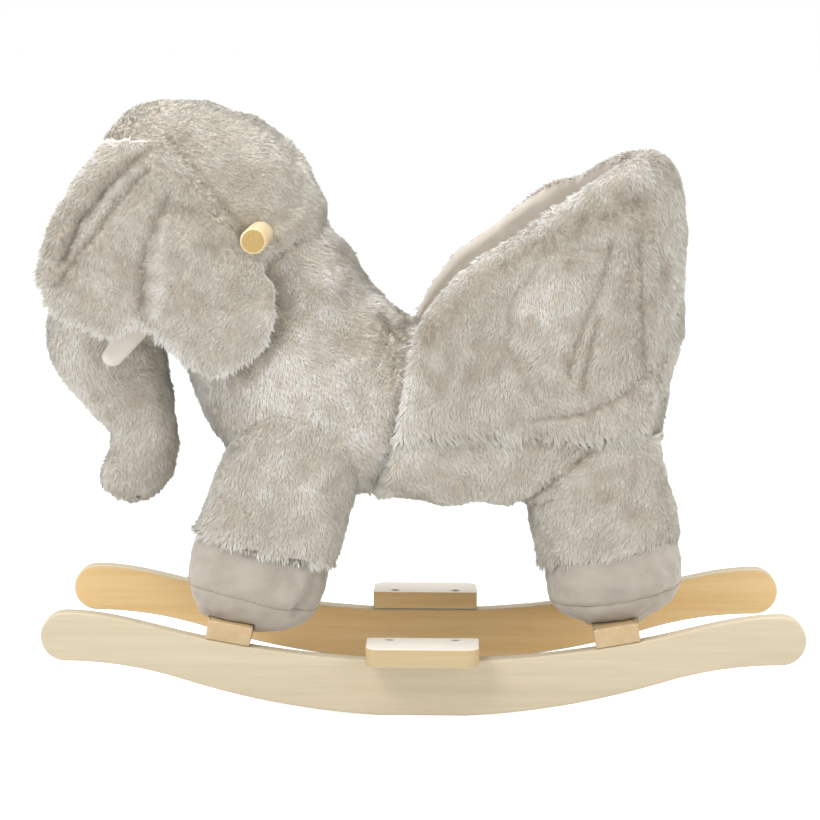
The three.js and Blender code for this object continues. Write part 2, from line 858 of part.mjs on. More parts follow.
function tusk(sign) {
  const profile = [
    [0, 0],
    [tuskRootRadius, 0],
    [tuskTipRadius, tuskLength - tuskTipRadius],
    [tuskTipRadius * Math.cos(Math.PI / 6), tuskLength - tuskTipRadius / 2],
    [tuskTipRadius / 2, tuskLength - tuskTipRadius * (1 - Math.cos(Math.PI / 6))],
    [0, tuskLength],
  ];
  return toSolid(
    turned(profile, tuskSides)
      .rotateY(-Math.PI / 2 - tuskSlope)
      .translate(
        headFront + tuskRootShares[0] * headLength,
        sign * tuskHalfSpacing,
        headBottom + tuskRootShares[1] * headHeight,
      ),
  );
}

const eyeRooms = [eye(sides.left, seamGap), eye(sides.right, seamGap)];
add("chest_plush", cut(chest(), chestCore, ...frameRoom), fur);
add("head_plush", cut(head(), headCore, chestRoom, ...frameRoom, ...eyeRooms), fur);
add("trunk_plush", cut(trunk(), headRoom, chestRoom), fur);

// An ear is a flap: its outline shrinks towards its centre on both faces, and its middle surface
// leaves the seam at once and then levels off, with a crease and a front edge that turns in.
function ear(sign) {
  const at = ([x, z]) => new THREE.Vector2(earFront + x * earLength, earBottom + z * earHeight);
  const [seamTop, seamEnd] = earSeamShares.map(at);
  const [creaseTop, creaseEnd] = earCreaseShares.map(at);
  const centre = at(earCentreShares);
  const curve = new THREE.SplineCurve([...earOutlineShares, earOutlineShares[0]].map(at));
  const outline = curve.getPoints(earOutlinePoints).slice(0, -1);
  const distance = (p, a, b) => {
    const along = b.clone().sub(a).normalize();
    const from = p.clone().sub(a);
    return from.y * along.x - from.x * along.y;
  };
  const middleY = (p) => {
    const off = Math.max(0, -distance(p, seamTop, seamEnd));
    const rise = earFlare * (1 - Math.exp(-off / earFlareReach));
    const forward = Math.max(0, (centre.x - p.x) / (centre.x - earFront));
    const dip = Math.exp(-((distance(p, creaseTop, creaseEnd) / earCreaseWidth) ** 2));
    const inFlap = 1 - Math.exp(-off / earCreaseWidth);
    return earSeamHalfWidth + rise - earCurl * forward ** 2 - earCreaseDepth * dip * inFlap;
  };
  const ring = (share, face) =>
    outline.map((edge) => {
      const p = centre.clone().lerp(edge, share);
      const half = (earThickness / 2) * Math.sqrt(1 - share ** 4);
      return new THREE.Vector3(p.x, sign * (middleY(p) + face * half), p.y);
    });
  return skin([
    ...earRingShares.map((share) => ring(share, 1)),
    ring(1, 0),
    ...earRingShares.toReversed().map((share) => ring(share, -1)),
  ]);
}

for (const [side, sign] of Object.entries(sides)) {
  add(`ear_${side}`, cut(ear(sign), headRoom), fur);
  add(`tusk_${side}`, cut(tusk(sign), headRoom, trunk(seamGap)), tuskCloth);
  add(`eye_${side}`, eye(sign), blackPlastic);
}

// Seat: the seam between chest and seat leans back, and the seat's front faces follow it.
const [headX, headZ, footX, footZ] = chestShares.at(-1);
const onChest = (x, z) =>
  new THREE.Vector2(chestFront + x * chestLength, chestBottom + z * chestHeight);
const seamHead = onChest(headX, headZ);
const seamFoot = onChest(footX, footZ);
const seamLean = (seamHead.x - seamFoot.x) / (seamHead.y - seamFoot.y);
const seamX = (z) => seamFoot.x + seamLean * (z - seamFoot.y) + seamGap;

const underbodyTop = deckHeight + underbodyCrown;
const underbodyPlace = {
  x: seamFoot.x,
  y: 0,
  z: underbodyBottom,
  length: underbodyRear - seamFoot.x,
  height: underbodyTop - underbodyBottom,
  halfWidth: underbodyHalfWidth,
};
const seamShare = (z) => (seamX(z) - seamFoot.x) / underbodyPlace.length;
const seamFootShare = (seamFoot.y - underbodyBottom) / underbodyPlace.height;
const seamRing = [seamShare(underbodyTop), 1, seamShare(seamFoot.y), seamFootShare, underbodyFrontShare];
const underbodyRings = [seamRing, ...underbodyShares.map(([x, z, wide]) => [x, 1, x, z, wide])];
const underbody = (grow) =>
  stuffed(underbodyPlace, underbodyRings, formSides, underbodySquareness, grow);
const overDeck = toSolid(
  block(rockerLength, rockerLength, rockerLength).translate(0, 0, deckHeight + rockerLength / 2),
);
const underbodyRoom = underbody(seamGap);
add("seat_underbody_plush", cut(underbody(), overDeck, chestRoom, ...frameRoom), fur);

// One ring of the wall: flat underneath, bulged outside and round on top.
function wallRing(x, y, outX, outY, thickness, top, lean) {
  const half = thickness / 2;
  const foot = deckHeight + seamGap;
  const shoulder = top - half;
  const at = (out, z) =>
    new THREE.Vector3(x + out * outX + lean * (seamX(z) - seamX(foot)), y + out * outY, z);
  const round = Array.from({ length: wallRoundSegments + 1 }, (_, i) => {
    const turn = (Math.PI * i) / wallRoundSegments;
    return at(half * Math.cos(turn), shoulder + half * Math.sin(turn));
  });
  return [
    at(half, foot),
    at(half + wallBulge, (foot + shoulder) / 2),
    ...round,
    at(-half, (foot + shoulder) / 2),
    at(-half, foot),
  ];
}

const wallMiddleY = wallHalfWidth - wingThickness / 2;
const wallCornerX = backRear - backThickness / 2 - wallCornerRadius;
const wallCornerY = wallMiddleY - wallCornerRadius;
const straightRing = ([along, rim], i, sign) => {
  const front = seamX(deckHeight + seamGap);
  const x = front + along * (wallCornerX - front);
  return wallRing(x, sign * wallMiddleY, 0, sign, wingThickness, rimZ(rim), i === 0 ? 1 : 0);
};
const cornerRing = ([along, rim], sign, inset = 0) => {
  const turn = (along * Math.PI) / 2 + inset / wallCornerRadius;
  const outX = Math.sin(turn);
  const outY = sign * Math.cos(turn);
  return wallRing(
    wallCornerX + wallCornerRadius * outX,
    sign * wallCornerY + wallCornerRadius * outY,
    outX,
    outY,
    wingThickness + (backThickness - wingThickness) * along,
    rimZ(rim),
    0,
  );
};

for (const [side, sign] of Object.entries(sides)) {
  const wing = skin([
    ...wingShares.map((row, i) => straightRing(row, i, sign)),
    ...cornerShares.map((row) => cornerRing(row, sign)),
  ]);
  add(`seat_wing_${side}`, cut(wing, chestRoom, ...frameRoom), fur);
}
const halfBack = (sign) =>
  backShares.map((row, i) => cornerRing(row, sign, i === 0 ? 2 * seamGap : 0));
add(
  "seat_back",
  cut(skin([...halfBack(sides.left), ...halfBack(sides.right).reverse()]), ...frameRoom),
  fur,
);

const cushionFront = seamX(deckHeight) + cushionSideRoom;
const cushionRear = backRear - backThickness - cushionSideRoom;
const cushionHalfLength = (cushionRear - cushionFront) / 2;
const cushionHalfWidth = wallHalfWidth - wingThickness - cushionSideRoom;
const cushion = skin(
  cushionShares.map(([high, size]) =>
    Array.from({ length: cushionSides }, (_, k) => {
      const turn = (2 * Math.PI * k) / cushionSides;
      const [along, across] = roundedSquare(turn, cushionSquareness);
      const drawn = size * (1 - cushionPinchShare * Math.cos(2 * turn) ** 2);
      return new THREE.Vector3(
        (cushionFront + cushionRear) / 2 + cushionHalfLength * drawn * along,
        cushionHalfWidth * drawn * across,
        deckHeight + seamGap + high * cushionHeight,
      );
    }),
  ),
);
add("seat_cushion", cushion, lining);

// Legs and feet
const legHeight = (lift, overDeck) => deckHeight + overDeck - barSeatHeight - lift;
const frontLegHeight = legHeight(frontLegLift, frontLegOverDeck);
const rearLegHeight = legHeight(rearLegLift, rearLegOverDeck);
const limbs = {
  front: {
    leg: [frontLegLead, frontLegLift, frontLegLength, frontLegHeight, frontLegShares],
    foot: [frontFootLead, frontFootLift, frontFootLength, frontFootHeight, frontFootShares],
  },
  rear: {
    leg: [rearLegLead, rearLegLift, rearLegLength, rearLegHeight, rearLegShares],
    foot: [rearFootLead, rearFootLift, rearFootLength, rearFootHeight, rearFootShares],
  },
};

// A leg or foot, placed from the bar that it stands on.
function limb(end, [lead, lift, length, height, shares], sign, halfWidth, squareness, grow) {
  const place = {
    x: bars[end] * barReach - lead,
    y: sign * legHalfSpacing,
    z: barSeatHeight + lift,
    length,
    height,
    halfWidth,
  };
  return stuffed(place, shares, limbSides, squareness, grow);
}

for (const [end, { leg, foot }] of Object.entries(limbs)) {
  for (const [side, sign] of Object.entries(sides)) {
    const sleeve = (grow) => limb(end, leg, sign, legHalfWidth, bodySquareness, grow);
    add(
      `${end}_leg_${side}`,
      cut(sleeve(), chestRoom, underbodyRoom, ...frameRoom),
      fur,
    );
    add(
      `${end}_foot_${side}`,
      cut(
        limb(end, foot, sign, footHalfWidth, footSquareness),
        sleeve(seamGap),
        chestRoom,
        underbodyRoom,
        bar(end, seamGap),
        ...frameRoom,
      ),
      velboa,
    );
  }
}

export default elephant;
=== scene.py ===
# A plush rocking elephant with a bucket seat on sawn wooden rockers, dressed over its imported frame.
# Shapes are worked out in millimetres and put into metre meshes: X from the trunk to the seat's back,
# the elephant's left at -Y, Z up from the floor.
import json
import math

import bpy
import numpy as np
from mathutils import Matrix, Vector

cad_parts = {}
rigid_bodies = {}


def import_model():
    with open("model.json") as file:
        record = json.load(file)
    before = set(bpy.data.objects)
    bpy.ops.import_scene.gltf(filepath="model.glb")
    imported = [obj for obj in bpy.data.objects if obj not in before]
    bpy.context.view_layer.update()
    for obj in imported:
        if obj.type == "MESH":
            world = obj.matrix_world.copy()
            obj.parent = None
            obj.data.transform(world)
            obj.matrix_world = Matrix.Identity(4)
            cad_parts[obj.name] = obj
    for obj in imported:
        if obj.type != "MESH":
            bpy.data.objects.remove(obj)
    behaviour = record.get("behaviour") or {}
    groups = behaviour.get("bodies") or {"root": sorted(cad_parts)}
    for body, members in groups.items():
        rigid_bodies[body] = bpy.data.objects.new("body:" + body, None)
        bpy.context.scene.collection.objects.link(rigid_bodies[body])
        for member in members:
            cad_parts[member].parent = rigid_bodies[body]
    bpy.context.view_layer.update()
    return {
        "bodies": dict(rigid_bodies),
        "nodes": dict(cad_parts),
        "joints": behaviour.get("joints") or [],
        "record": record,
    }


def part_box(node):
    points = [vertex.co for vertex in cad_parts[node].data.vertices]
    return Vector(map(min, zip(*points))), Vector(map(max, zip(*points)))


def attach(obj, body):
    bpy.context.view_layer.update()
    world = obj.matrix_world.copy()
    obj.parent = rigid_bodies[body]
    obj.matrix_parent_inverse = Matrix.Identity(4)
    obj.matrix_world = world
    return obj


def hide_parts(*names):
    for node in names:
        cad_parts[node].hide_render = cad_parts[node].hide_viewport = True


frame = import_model()
mm = 0.001
sides = {"left": -1, "right": 1}
scene = bpy.context.scene

# Studio: the photograph's camera, a white sweep and soft light
studio = dict(
    cameraPlace=(25.8, -2615.6, 631.3),
    yaw=0.912,
    pitch=7.78,
    roll=-0.2,
    lens=118.9,
    sensor=36,
    skyStrength=0.5,
    floorHalf=60000,
    floorGlow=0.3,
    floorShown=0.84,
)
lamps = {
    "key": dict(place=(-1500, -1900, 2300), aim=(0, 0, 300), size=1500, power=48),
    "fill": dict(place=(1700, -2100, 900), aim=(0, 0, 250), size=1600, power=16),
    "top": dict(place=(0, 200, 2600), aim=(0, 0, 300), size=2000, power=52),
    "left": dict(place=(-2400, 300, 900), aim=(0, 0, 300), size=1600, power=16),
    "right": dict(place=(2400, 300, 900), aim=(0, 0, 300), size=1600, power=18),
}


def linear(colour):
    # an sRGB hex colour as linear RGBA
    parts = [int(colour[i : i + 2], 16) / 255 for i in (1, 3, 5)]
    return [c / 12.92 if c <= 0.04045 else ((c + 0.055) / 1.055) ** 2.4 for c in parts] + [1]


def addNode(material, kind, inputs=None, stops=None, **settings):
    # one node: its settings, its colour stops, and its inputs by value or by the socket that feeds them
    made = material.node_tree.nodes.new(kind)
    for name, value in settings.items():
        setattr(made, name, value)
    for name, value in (inputs or {}).items():
        if isinstance(value, bpy.types.NodeSocket):
            material.node_tree.links.new(value, made.inputs[name])
        else:
            made.inputs[name].default_value = value
    if stops:
        ramp = made.color_ramp.elements
        for (place, colour), spot in zip(stops, [ramp[0], ramp[1]] + [ramp.new(0.5) for _ in stops[2:]]):
            spot.position = place
            spot.color = linear(colour)
    return made


def newMaterial(name, **shader):
    # a material with one Principled shader, its sockets set by name
    material = bpy.data.materials.new(name)
    material.use_nodes = True
    principled = material.node_tree.nodes["Principled BSDF"]
    for socket, value in shader.items():
        principled.inputs[socket.replace("_", " ")].default_value = value
    return material, principled


def twoGlows(owner, lit, shown, socket):
    # one strength for the light that falls on the toy, and another where the camera sees the glow itself
    rays = addNode(owner, "ShaderNodeLightPath").outputs["Is Camera Ray"]
    glow = addNode(owner, "ShaderNodeMix", {"Factor": rays, 2: lit, 3: shown}, data_type="FLOAT")
    owner.node_tree.links.new(glow.outputs[0], socket)


def buildStudio():
    world = bpy.data.worlds.new("softBox")
    world.use_nodes = True
    sky = world.node_tree.nodes["Background"]
    sky.inputs["Color"].default_value = (1, 1, 1, 1)
    # the sky lights the toy softly, and is plain white where it shows
    twoGlows(world, studio["skyStrength"], 1.0, sky.inputs["Strength"])
    scene.world = world
    scene.view_settings.view_transform = "Standard"
    camera = bpy.data.objects.new("camera", bpy.data.cameras.new("camera"))
    camera.data.lens = studio["lens"]
    camera.data.sensor_width = studio["sensor"]
    camera.data.clip_end = 100
    camera.location = np.array(studio["cameraPlace"]) * mm
    camera.rotation_euler = [math.radians(a) for a in (90 - studio["pitch"], studio["roll"], studio["yaw"])]
    scene.collection.objects.link(camera)
    scene.camera = camera
    for name, lamp in lamps.items():
        light = bpy.data.objects.new(name, bpy.data.lights.new(name, "AREA"))
        light.data.energy = lamp["power"]
        light.data.shape = "DISK"
        light.data.size = lamp["size"] * mm
        light.location = np.array(lamp["place"]) * mm
        towards = np.array(lamp["aim"]) - np.array(lamp["place"])
        flat = math.hypot(towards[0], towards[1])
        light.rotation_euler = (math.atan2(flat, -towards[2]), 0, math.atan2(-towards[0], towards[1]))
        scene.collection.objects.link(light)
    # matt white paper, which glows a little, and shows white up to the sky
    paper, shader = newMaterial("mattPaper", Roughness=1)
    shader.inputs["Base Color"].default_value = linear("#c8c8c8")
    shader.inputs["Emission Color"].default_value = (1, 1, 1, 1)
    shader.inputs["Specular IOR Level"].default_value = 0
    twoGlows(paper, studio["floorGlow"], studio["floorShown"], shader.inputs["Emission Strength"])
    half = studio["floorHalf"]
    corners = np.array([(-half, -half, 0), (half, -half, 0), (half, half, 0), (-half, half, 0)])
    floor = bpy.data.meshes.new("floor")
    floor.from_pydata((corners * mm).tolist(), [], [(0, 1, 2, 3)])
    floor.materials.append(paper)
    sheet = bpy.data.objects.new("floor", floor)
    scene.collection.objects.link(sheet)
    print("studio ready")


# Numbers and noise

def waves(points, length, seed, count=14):
    # smooth noise about 0 with a spread of 1: sine waves of about that length, each its own way
    rng = np.random.default_rng(seed)
    way = rng.normal(size=(count, 3))
    way *= 2 * np.pi / (length * np.linalg.norm(way, axis=1, keepdims=True))
    way *= rng.uniform(0.6, 1.5, (count, 1))
    phase = rng.uniform(0, 2 * np.pi, count)
    return np.sin(points @ way.T + phase).sum(1) * math.sqrt(2 / count)


def hashed(cells, seed):
    # three numbers from 0 to 1 for each cell, the same each time
    mix = np.array([[127.1, 269.5, 419.2], [311.7, 183.3, 371.9], [74.7, 246.1, 161.3]])
    return np.modf(np.abs(np.sin(cells @ mix + seed * 17.31)) * 43758.5453)[0]


def tufts(points, size, seed):
    # the nearest of the scattered tuft centres, one to a cell, and three numbers that belong to it
    cells = np.floor(points / size)
    nearest = np.full(len(points), np.inf)
    centre, luck = np.zeros_like(points), np.zeros_like(points)
    for step in np.ndindex(3, 3, 3):
        cell = cells + step - 1
        spot = (cell + hashed(cell, seed)) * size
        far = ((points - spot) ** 2).sum(1)
        closer = far < nearest
        nearest = np.where(closer, far, nearest)
        centre[closer] = spot[closer]
        luck[closer] = hashed(cell[closer], seed + 1)
    return centre, luck


def smoothRows(rows, count, closed=False):
    # a Catmull-Rom curve through the rows, at even steps of the row number
    rows = np.asarray(rows, float)
    if closed:
        padded = np.vstack([rows[-1:], rows, rows[:2]])
        spans = len(rows)
        t = np.arange(count) * spans / count
    else:
        padded = np.vstack([2 * rows[0] - rows[1], rows, 2 * rows[-1] - rows[-2]])
        spans = len(rows) - 1
        t = np.linspace(0, spans, count)
    i = np.minimum(t.astype(int), spans - 1)
    f = (t - i)[:, None]
    a, b, c, d = (padded[i + k] for k in range(4))
    return (2 * b + (c - a) * f + (2 * a - 5 * b + 4 * c - d) * f**2 + (3 * b - a - 3 * c + d) * f**3) / 2


def lineDistance(points, line):
    # distance in the X-Z plane to a line of points
    x, z = points[:, 0], points[:, 2]
    best = np.full(len(x), np.inf)
    for (x0, z0), (x1, z1) in zip(line, line[1:]):
        runX, runZ = x1 - x0, z1 - z0
        along = np.clip(((x - x0) * runX + (z - z0) * runZ) / (runX**2 + runZ**2), 0, 1)
        best = np.minimum(best, np.hypot(x - x0 - along * runX, z - z0 - along * runZ))
    return best


def nearLine(points, line, reach):
    # a bell: 1 on the line, and close to nothing at twice the reach
    return np.exp(-((lineDistance(points, line) / reach) ** 2))


def tableAt(table, place):
    # the value at that place in a table of (place, value)
    return np.interp(place, *np.array(table).T)


def superellipse(count, squareness):
    # even turns round the circle, and the two coordinates there of a square with round corners
    turn = 2 * np.pi * np.arange(count) / count
    circle = np.stack([np.cos(turn), np.sin(turn)])
    along, across = np.sign(circle) * np.abs(circle) ** (2 / squareness)
    return turn, along, across


def unit(vectors):
    # the same ways, at length 1
    return vectors / np.linalg.norm(vectors, axis=-1, keepdims=True).clip(1e-9)


def splitFaces(faces):
    # the faces as triangles, each a fan from its first corner
    made = []
    for size in {len(face) for face in faces}:
        rows = np.array([face for face in faces if len(face) == size])
        made += [rows[:, [0, i, i + 1]] for i in range(1, size - 1)]
    return np.vstack(made)


def normalsOf(points, triangles):
    # the mean way that the faces round each point look, by their area
    a, b, c = (points[triangles[:, i]] for i in range(3))
    across = np.cross(b - a, c - a)
    total = np.zeros_like(points)
    for i in range(3):
        np.add.at(total, triangles[:, i], across)
    return unit(total)


def outwardNormals(points, faces):
    # the normals of a closed form, all turned outwards
    normals = normalsOf(points, splitFaces(faces))
    return -normals if (normals * (points - points.mean(0))).sum() < 0 else normals


def pointsOf(mesh):
    # the mesh's points in mm
    points = np.empty(len(mesh.vertices) * 3)
    mesh.vertices.foreach_get("co", points)
    return points.reshape(-1, 3) / mm


def meshObject(name, points, faces, materials, which=None):
    # a closed mesh, turned so that its faces look outwards
    triangles = splitFaces(faces)
    a, b, c = (points[triangles[:, i]] for i in range(3))
    if (a * np.cross(b, c)).sum() < 0:
        faces = [face[::-1] for face in faces]
    mesh = bpy.data.meshes.new(name)
    mesh.from_pydata((points * mm).tolist(), [], faces)
    for material in materials:
        mesh.materials.append(material)
    if which is not None:
        mesh.polygons.foreach_set("material_index", np.asarray(which, np.int32))
    mesh.shade_smooth()
    made = bpy.data.objects.new(name, mesh)
    scene.collection.objects.link(made)
    return made


def boxCutter(place, size, materials, which=None):
    # a box of that size round the origin, carried to its place
    grid = np.array([(i, j, k) for k in (-0.5, 0.5) for j in (-0.5, 0.5) for i in (-0.5, 0.5)])
    faces = [(0, 1, 3, 2), (4, 6, 7, 5), (0, 4, 5, 1), (2, 3, 7, 6), (0, 2, 6, 4), (1, 5, 7, 3)]
    return meshObject("cutter", place(grid * size), faces, materials, which)


def sharpen(piece, angle=35):
    # a crisp line where two faces meet at more than that many degrees
    piece.data.set_sharp_from_angle(angle=math.radians(angle))


def tubeFaces(rings, around, capped=True):
    # quads between neighbouring closed rings; the two points after the rings close the ends with fans
    r, k = (grid.ravel() for grid in np.meshgrid(np.arange(rings - 1), np.arange(around), indexing="ij"))
    n = (k + 1) % around
    faces = np.stack([r * around + k, r * around + n, (r + 1) * around + n, (r + 1) * around + k], 1).tolist()
    if capped:
        k, n, last = np.arange(around), (np.arange(around) + 1) % around, (rings - 1) * around
        faces += np.stack([np.full(around, rings * around), n, k], 1).tolist()
        faces += np.stack([np.full(around, rings * around + 1), last + k, last + n], 1).tolist()
    return faces


def makeMesh(piece):
    # the piece's modifiers, made mesh
    mesh = bpy.data.meshes.new_from_object(piece.evaluated_get(bpy.context.evaluated_depsgraph_get()))
    old = piece.data
    piece.modifiers.clear()
    piece.data = mesh
    mesh.name = piece.name
    bpy.data.meshes.remove(old)


def carve(piece, *tools):
    # cuts the tools out of the piece; a face made by a cut keeps the tool's material number
    for tool in tools:
        cut = piece.modifiers.new("cut", "BOOLEAN")
        cut.operation = "DIFFERENCE"
        cut.solver = "MANIFOLD"
        cut.object = tool
    makeMesh(piece)


def settle(piece, slot, *nodes, fill=None, body="elephant"):
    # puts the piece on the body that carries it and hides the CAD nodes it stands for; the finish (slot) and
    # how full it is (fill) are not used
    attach(piece, body)
    if nodes:
        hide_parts(*nodes)


# Materials

def plushPile():
    # Faux fur, knitted with a cut pile of fine acrylic: soft, with pale tips and darker roots; the darker
    # roots are painted shade.
    # It reads the map that the needles carry: u is the tint of the tuft, v runs from root to tip.
    material, shader = newMaterial(
        "fauxFurPile", Roughness=0.9, Sheen_Weight=0.35, Sheen_Roughness=0.6, Specular_IOR_Level=0.15
    )
    shader.inputs["Sheen Tint"].default_value = linear("#f4efe6")
    place = addNode(material, "ShaderNodeUVMap", uv_map="OFBake")
    split = addNode(material, "ShaderNodeSeparateXYZ", {"Vector": place.outputs["UV"]})
    tints = [(0, "#b6ab9d"), (1, "#fcfbf8"), (0.3, "#d2ccc2"), (0.55, "#e0ddd5"), (0.8, "#edebe5")]
    # from root to tip: the darker roots are painted shade in the pile
    rootShadeStops = [(0, "#cdc3b5"), (1, "#fefdfb"), (0.25, "#eae4db"), (0.55, "#f9f7f2")]
    tint = addNode(material, "ShaderNodeValToRGB", {"Fac": split.outputs["X"]}, stops=tints)
    depth = addNode(material, "ShaderNodeValToRGB", {"Fac": split.outputs["Y"]}, stops=rootShadeStops)
    both = addNode(
        material,
        "ShaderNodeMix",
        {"Factor": 1.0, 6: tint.outputs["Color"], 7: depth.outputs["Color"]},
        data_type="RGBA",
        blend_type="MULTIPLY",
    )
    material.node_tree.links.new(both.outputs[2], shader.inputs["Base Color"])
    return material


def patterned(name, stops, broad, fine, share, relief, strength, stretch=(1, 1, 1), warp=0.0, **shader):
    # The tone comes from a broad noise and the given share of a fine one, which also gives the relief.
    # Both sizes and the relief are in mm; stretch draws the pattern out along an axis.
    material, principled = newMaterial(name, **shader)
    place = addNode(material, "ShaderNodeTexCoord").outputs["Object"]
    laid = addNode(material, "ShaderNodeMapping", {"Vector": place, "Scale": stretch}).outputs["Vector"]
    noises = []
    for size, detail, bend in ((broad, 3.0, warp), (fine, 4.0, 0.0)):
        inputs = {"Vector": laid, "Scale": 1 / (size * mm), "Detail": detail, "Distortion": bend}
        noises.append(addNode(material, "ShaderNodeTexNoise", inputs).outputs["Fac"])
    inputs = {"Factor": share, 2: noises[0], 3: noises[1]}
    mixed = addNode(material, "ShaderNodeMix", inputs, data_type="FLOAT")
    tone = addNode(material, "ShaderNodeValToRGB", {"Fac": mixed.outputs[0]}, stops=stops)
    inputs = {"Height": noises[1], "Strength": strength, "Distance": relief * mm}
    bump = addNode(material, "ShaderNodeBump", inputs)
    material.node_tree.links.new(tone.outputs["Color"], principled.inputs["Base Color"])
    material.node_tree.links.new(bump.outputs["Normal"], principled.inputs["Normal"])
    return material


def clothMaterial(name, stops, patch, nap, relief, roughness, sheen):
    # Short cloth: a drift of tone over patches, and a fine nap that catches light at its edges.
    shader = dict(Roughness=roughness, Sheen_Weight=sheen, Sheen_Roughness=0.5, Specular_IOR_Level=0.2)
    return patterned(name, stops, patch, nap, 0.35, relief, 0.6, **shader)


def woodMaterial(name, stops, roughness, along, coat=0.0):
    # Sawn and sanded wood: a broad figure of 14 mm and streaks of about 1.4 mm, drawn out along
    # the grain's axis, and a thin clear lacquer that leaves a soft gloss.
    stretch = [0.035 if axis == along else 1.0 for axis in "XYZ"]
    shader = dict(Roughness=roughness, Coat_Weight=coat, Coat_Roughness=0.35)
    return patterned(name, stops, 14, 1.4, 0.4, 0.1, 0.15, stretch, 0.6, **shader)


def smoothMaterial(name, stops, patch, relief, **shader):
    # A hard even surface with a faint drift of tone, such as zinc plate or moulded plastic.
    return patterned(name, stops, patch, patch, 1.0, relief, 0.2, **shader)


buildStudio()
fauxFur = plushPile()
# the fur's knitted ground between the roots of the pile, darker than the pile: painted shade among the roots
furGroundRootShade = clothMaterial("furGroundRootShade", [(0.3, "#b3a797"), (0.7, "#cbc1b3")], 30, 2.2, 1.2, 1.0, 0.15)
# velboa, a knitted cloth with a 1 mm shorn pile: matt, with soft light and dark strokes
velboa = clothMaterial("velboa", [(0.32, "#a0968a"), (0.62, "#b1a99d")], 26, 1.2, 0.25, 0.95, 0.35)
# the seat's lining, a beige velboa, a little warmer and paler
seatLining = clothMaterial("liningVelboa", [(0.3, "#b9b0a4"), (0.65, "#c9c1b6")], 34, 1.2, 0.25, 0.95, 0.35)
# the ears' inner cloth and hems, a cream shorn plush
creamPlush = clothMaterial("creamPlush", [(0.3, "#d0c7b9"), (0.65, "#e0d9cd")], 22, 1.6, 0.4, 0.95, 0.4)
# brushed cotton over the tusks: cream, even, with a fine nap
tuskCotton = clothMaterial("brushedCotton", [(0.3, "#dad3c7"), (0.7, "#e7e1d7")], 18, 0.9, 0.15, 0.9, 0.25)
# beech with a clear lacquer: pale cream, and a golden copy for the inward faces, which is painted light: the
# warm shade of the rockers' inner faces, and a lift for the footrests' shaded inner edges
beechPale = woodMaterial("lacqueredBeech", [(0.3, "#c3b598"), (0.7, "#d2c4a9")], 0.5, "X", 0.1)
beechInnerFacePaintedLight = woodMaterial("beechInnerFacesPaintedLight", [(0.3, "#dfb97b"), (0.7, "#ecce97")], 0.5, "X", 0.1)
# the crossbars' beech: planed and lacquered, a darker tan
barBeech = woodMaterial("beechBar", [(0.3, "#bb9e72"), (0.7, "#ceb791")], 0.5, "Y", 0.1)
# the footrests' sawn edges, which took up more of the lacquer
sawnEdge = woodMaterial("sawnBeechEdge", [(0.3, "#b99f74"), (0.7, "#cab48d")], 0.55, "X", 0.05)
# the footrests' tops: nearly white, with a faint figure; the white is painted light, as if lit from above
footrestTopPaintedLight = woodMaterial("beechTopPaintedLight", [(0.3, "#e6dfd0"), (0.7, "#f1ebdf")], 0.5, "X", 0.1)
# sewing thread of spun polyester
seamThread = clothMaterial("spunThread", [(0.3, "#948a7c"), (0.7, "#a49a8c")], 3, 0.4, 0.1, 0.8, 0.1)
# turned birch: smooth and pale yellow, with fine lines along the dowel
dowelBirch = woodMaterial("turnedBirch", [(0.3, "#d2ba8a"), (0.7, "#e2d1ae")], 0.45, "Y", 0.15)
# birch plywood of the inner boards: raw, matt and streaky
birchPly = woodMaterial("birchPlywood", [(0.3, "#b99c6c"), (0.7, "#d8c095")], 0.7, "X")
# end grain of the dowel: short pores seen end on, and more of the lacquer soaked in
endGrain = smoothMaterial("birchEndGrain", [(0.35, "#b39452"), (0.65, "#c1a66f")], 1.4, 0.1, Roughness=0.6)
# zinc plate on steel, dull and a little blue; and the eyes' moulded acrylic, near black and glossy
zincStops, acrylicStops = [(0.3, "#a9abac"), (0.7, "#c6c8c9")], [(0.3, "#120f0c"), (0.7, "#1d1814")]
zincPlate = smoothMaterial("zincPlatedSteel", zincStops, 2, 0.05, Metallic=1.0, Roughness=0.35)
eyeAcrylic = smoothMaterial("mouldedAcrylic", acrylicStops, 4, 0.01, Roughness=0.12)
print("materials ready")
groundAndLining = [furGroundRootShade, seatLining]


# Stuffed forms: rings that hang between two points of the X-Z plane and swell along Y

dents = dict(length=52, depth=1.4, fineLength=17, fineDepth=0.5)  # mm, of the filling


def stuffedForm(form, inset):
    # Each row gives a ring's high and low point and its half width, as shares of the form's length,
    # height and half width; the ring between them is a rounded square, and both ends are domed.
    rings, domeSteps = form.get("rings", 90), 6
    rows = smoothRows(form["rows"], rings)
    x, z, length, height = form["place"]
    high, low = (rows[:, [i, i + 1]] * (length, height) + (x, z) for i in (0, 2))
    middle = (high + low) / 2
    reach = high - middle
    reach *= 1 - inset / np.linalg.norm(reach, axis=1, keepdims=True)
    half = rows[:, 4] * form["halfWidth"] - inset
    around = form.get("around", 120)
    _, up, out = superellipse(around, form["squareness"])
    turns = np.arange(domeSteps) / domeSteps * np.pi / 2
    ways = unit(middle[0] - middle[2]), unit(middle[-1] - middle[-3])
    ends, domes = form.get("ends", (1, 1)), form.get("domes", (6, 6))  # share of the inset, height in mm

    def dome(i, turn):
        # the ring of an end's dome at that turn: its row, its size and its way out
        return i, math.cos(turn), ways[i] * (domes[i] * math.sin(turn) - inset * ends[i])

    steps = [dome(0, t) for t in turns[::-1]] + [(i, 1, 0) for i in range(1, rings - 1)]
    layers = []
    for i, share, shift in steps + [dome(-1, t) for t in turns]:
        flat = middle[i] + shift + reach[i] * share * up[:, None]
        layers.append(np.stack([flat[:, 0], form["y"] + half[i] * share * out, flat[:, 1]], 1))
    tips = [middle[i] + dome(i, np.pi / 2)[2] for i in (0, -1)]
    poles = [(tip[0], form["y"], tip[1]) for tip in tips]
    return np.vstack([*layers, poles]), tubeFaces(len(layers), around)


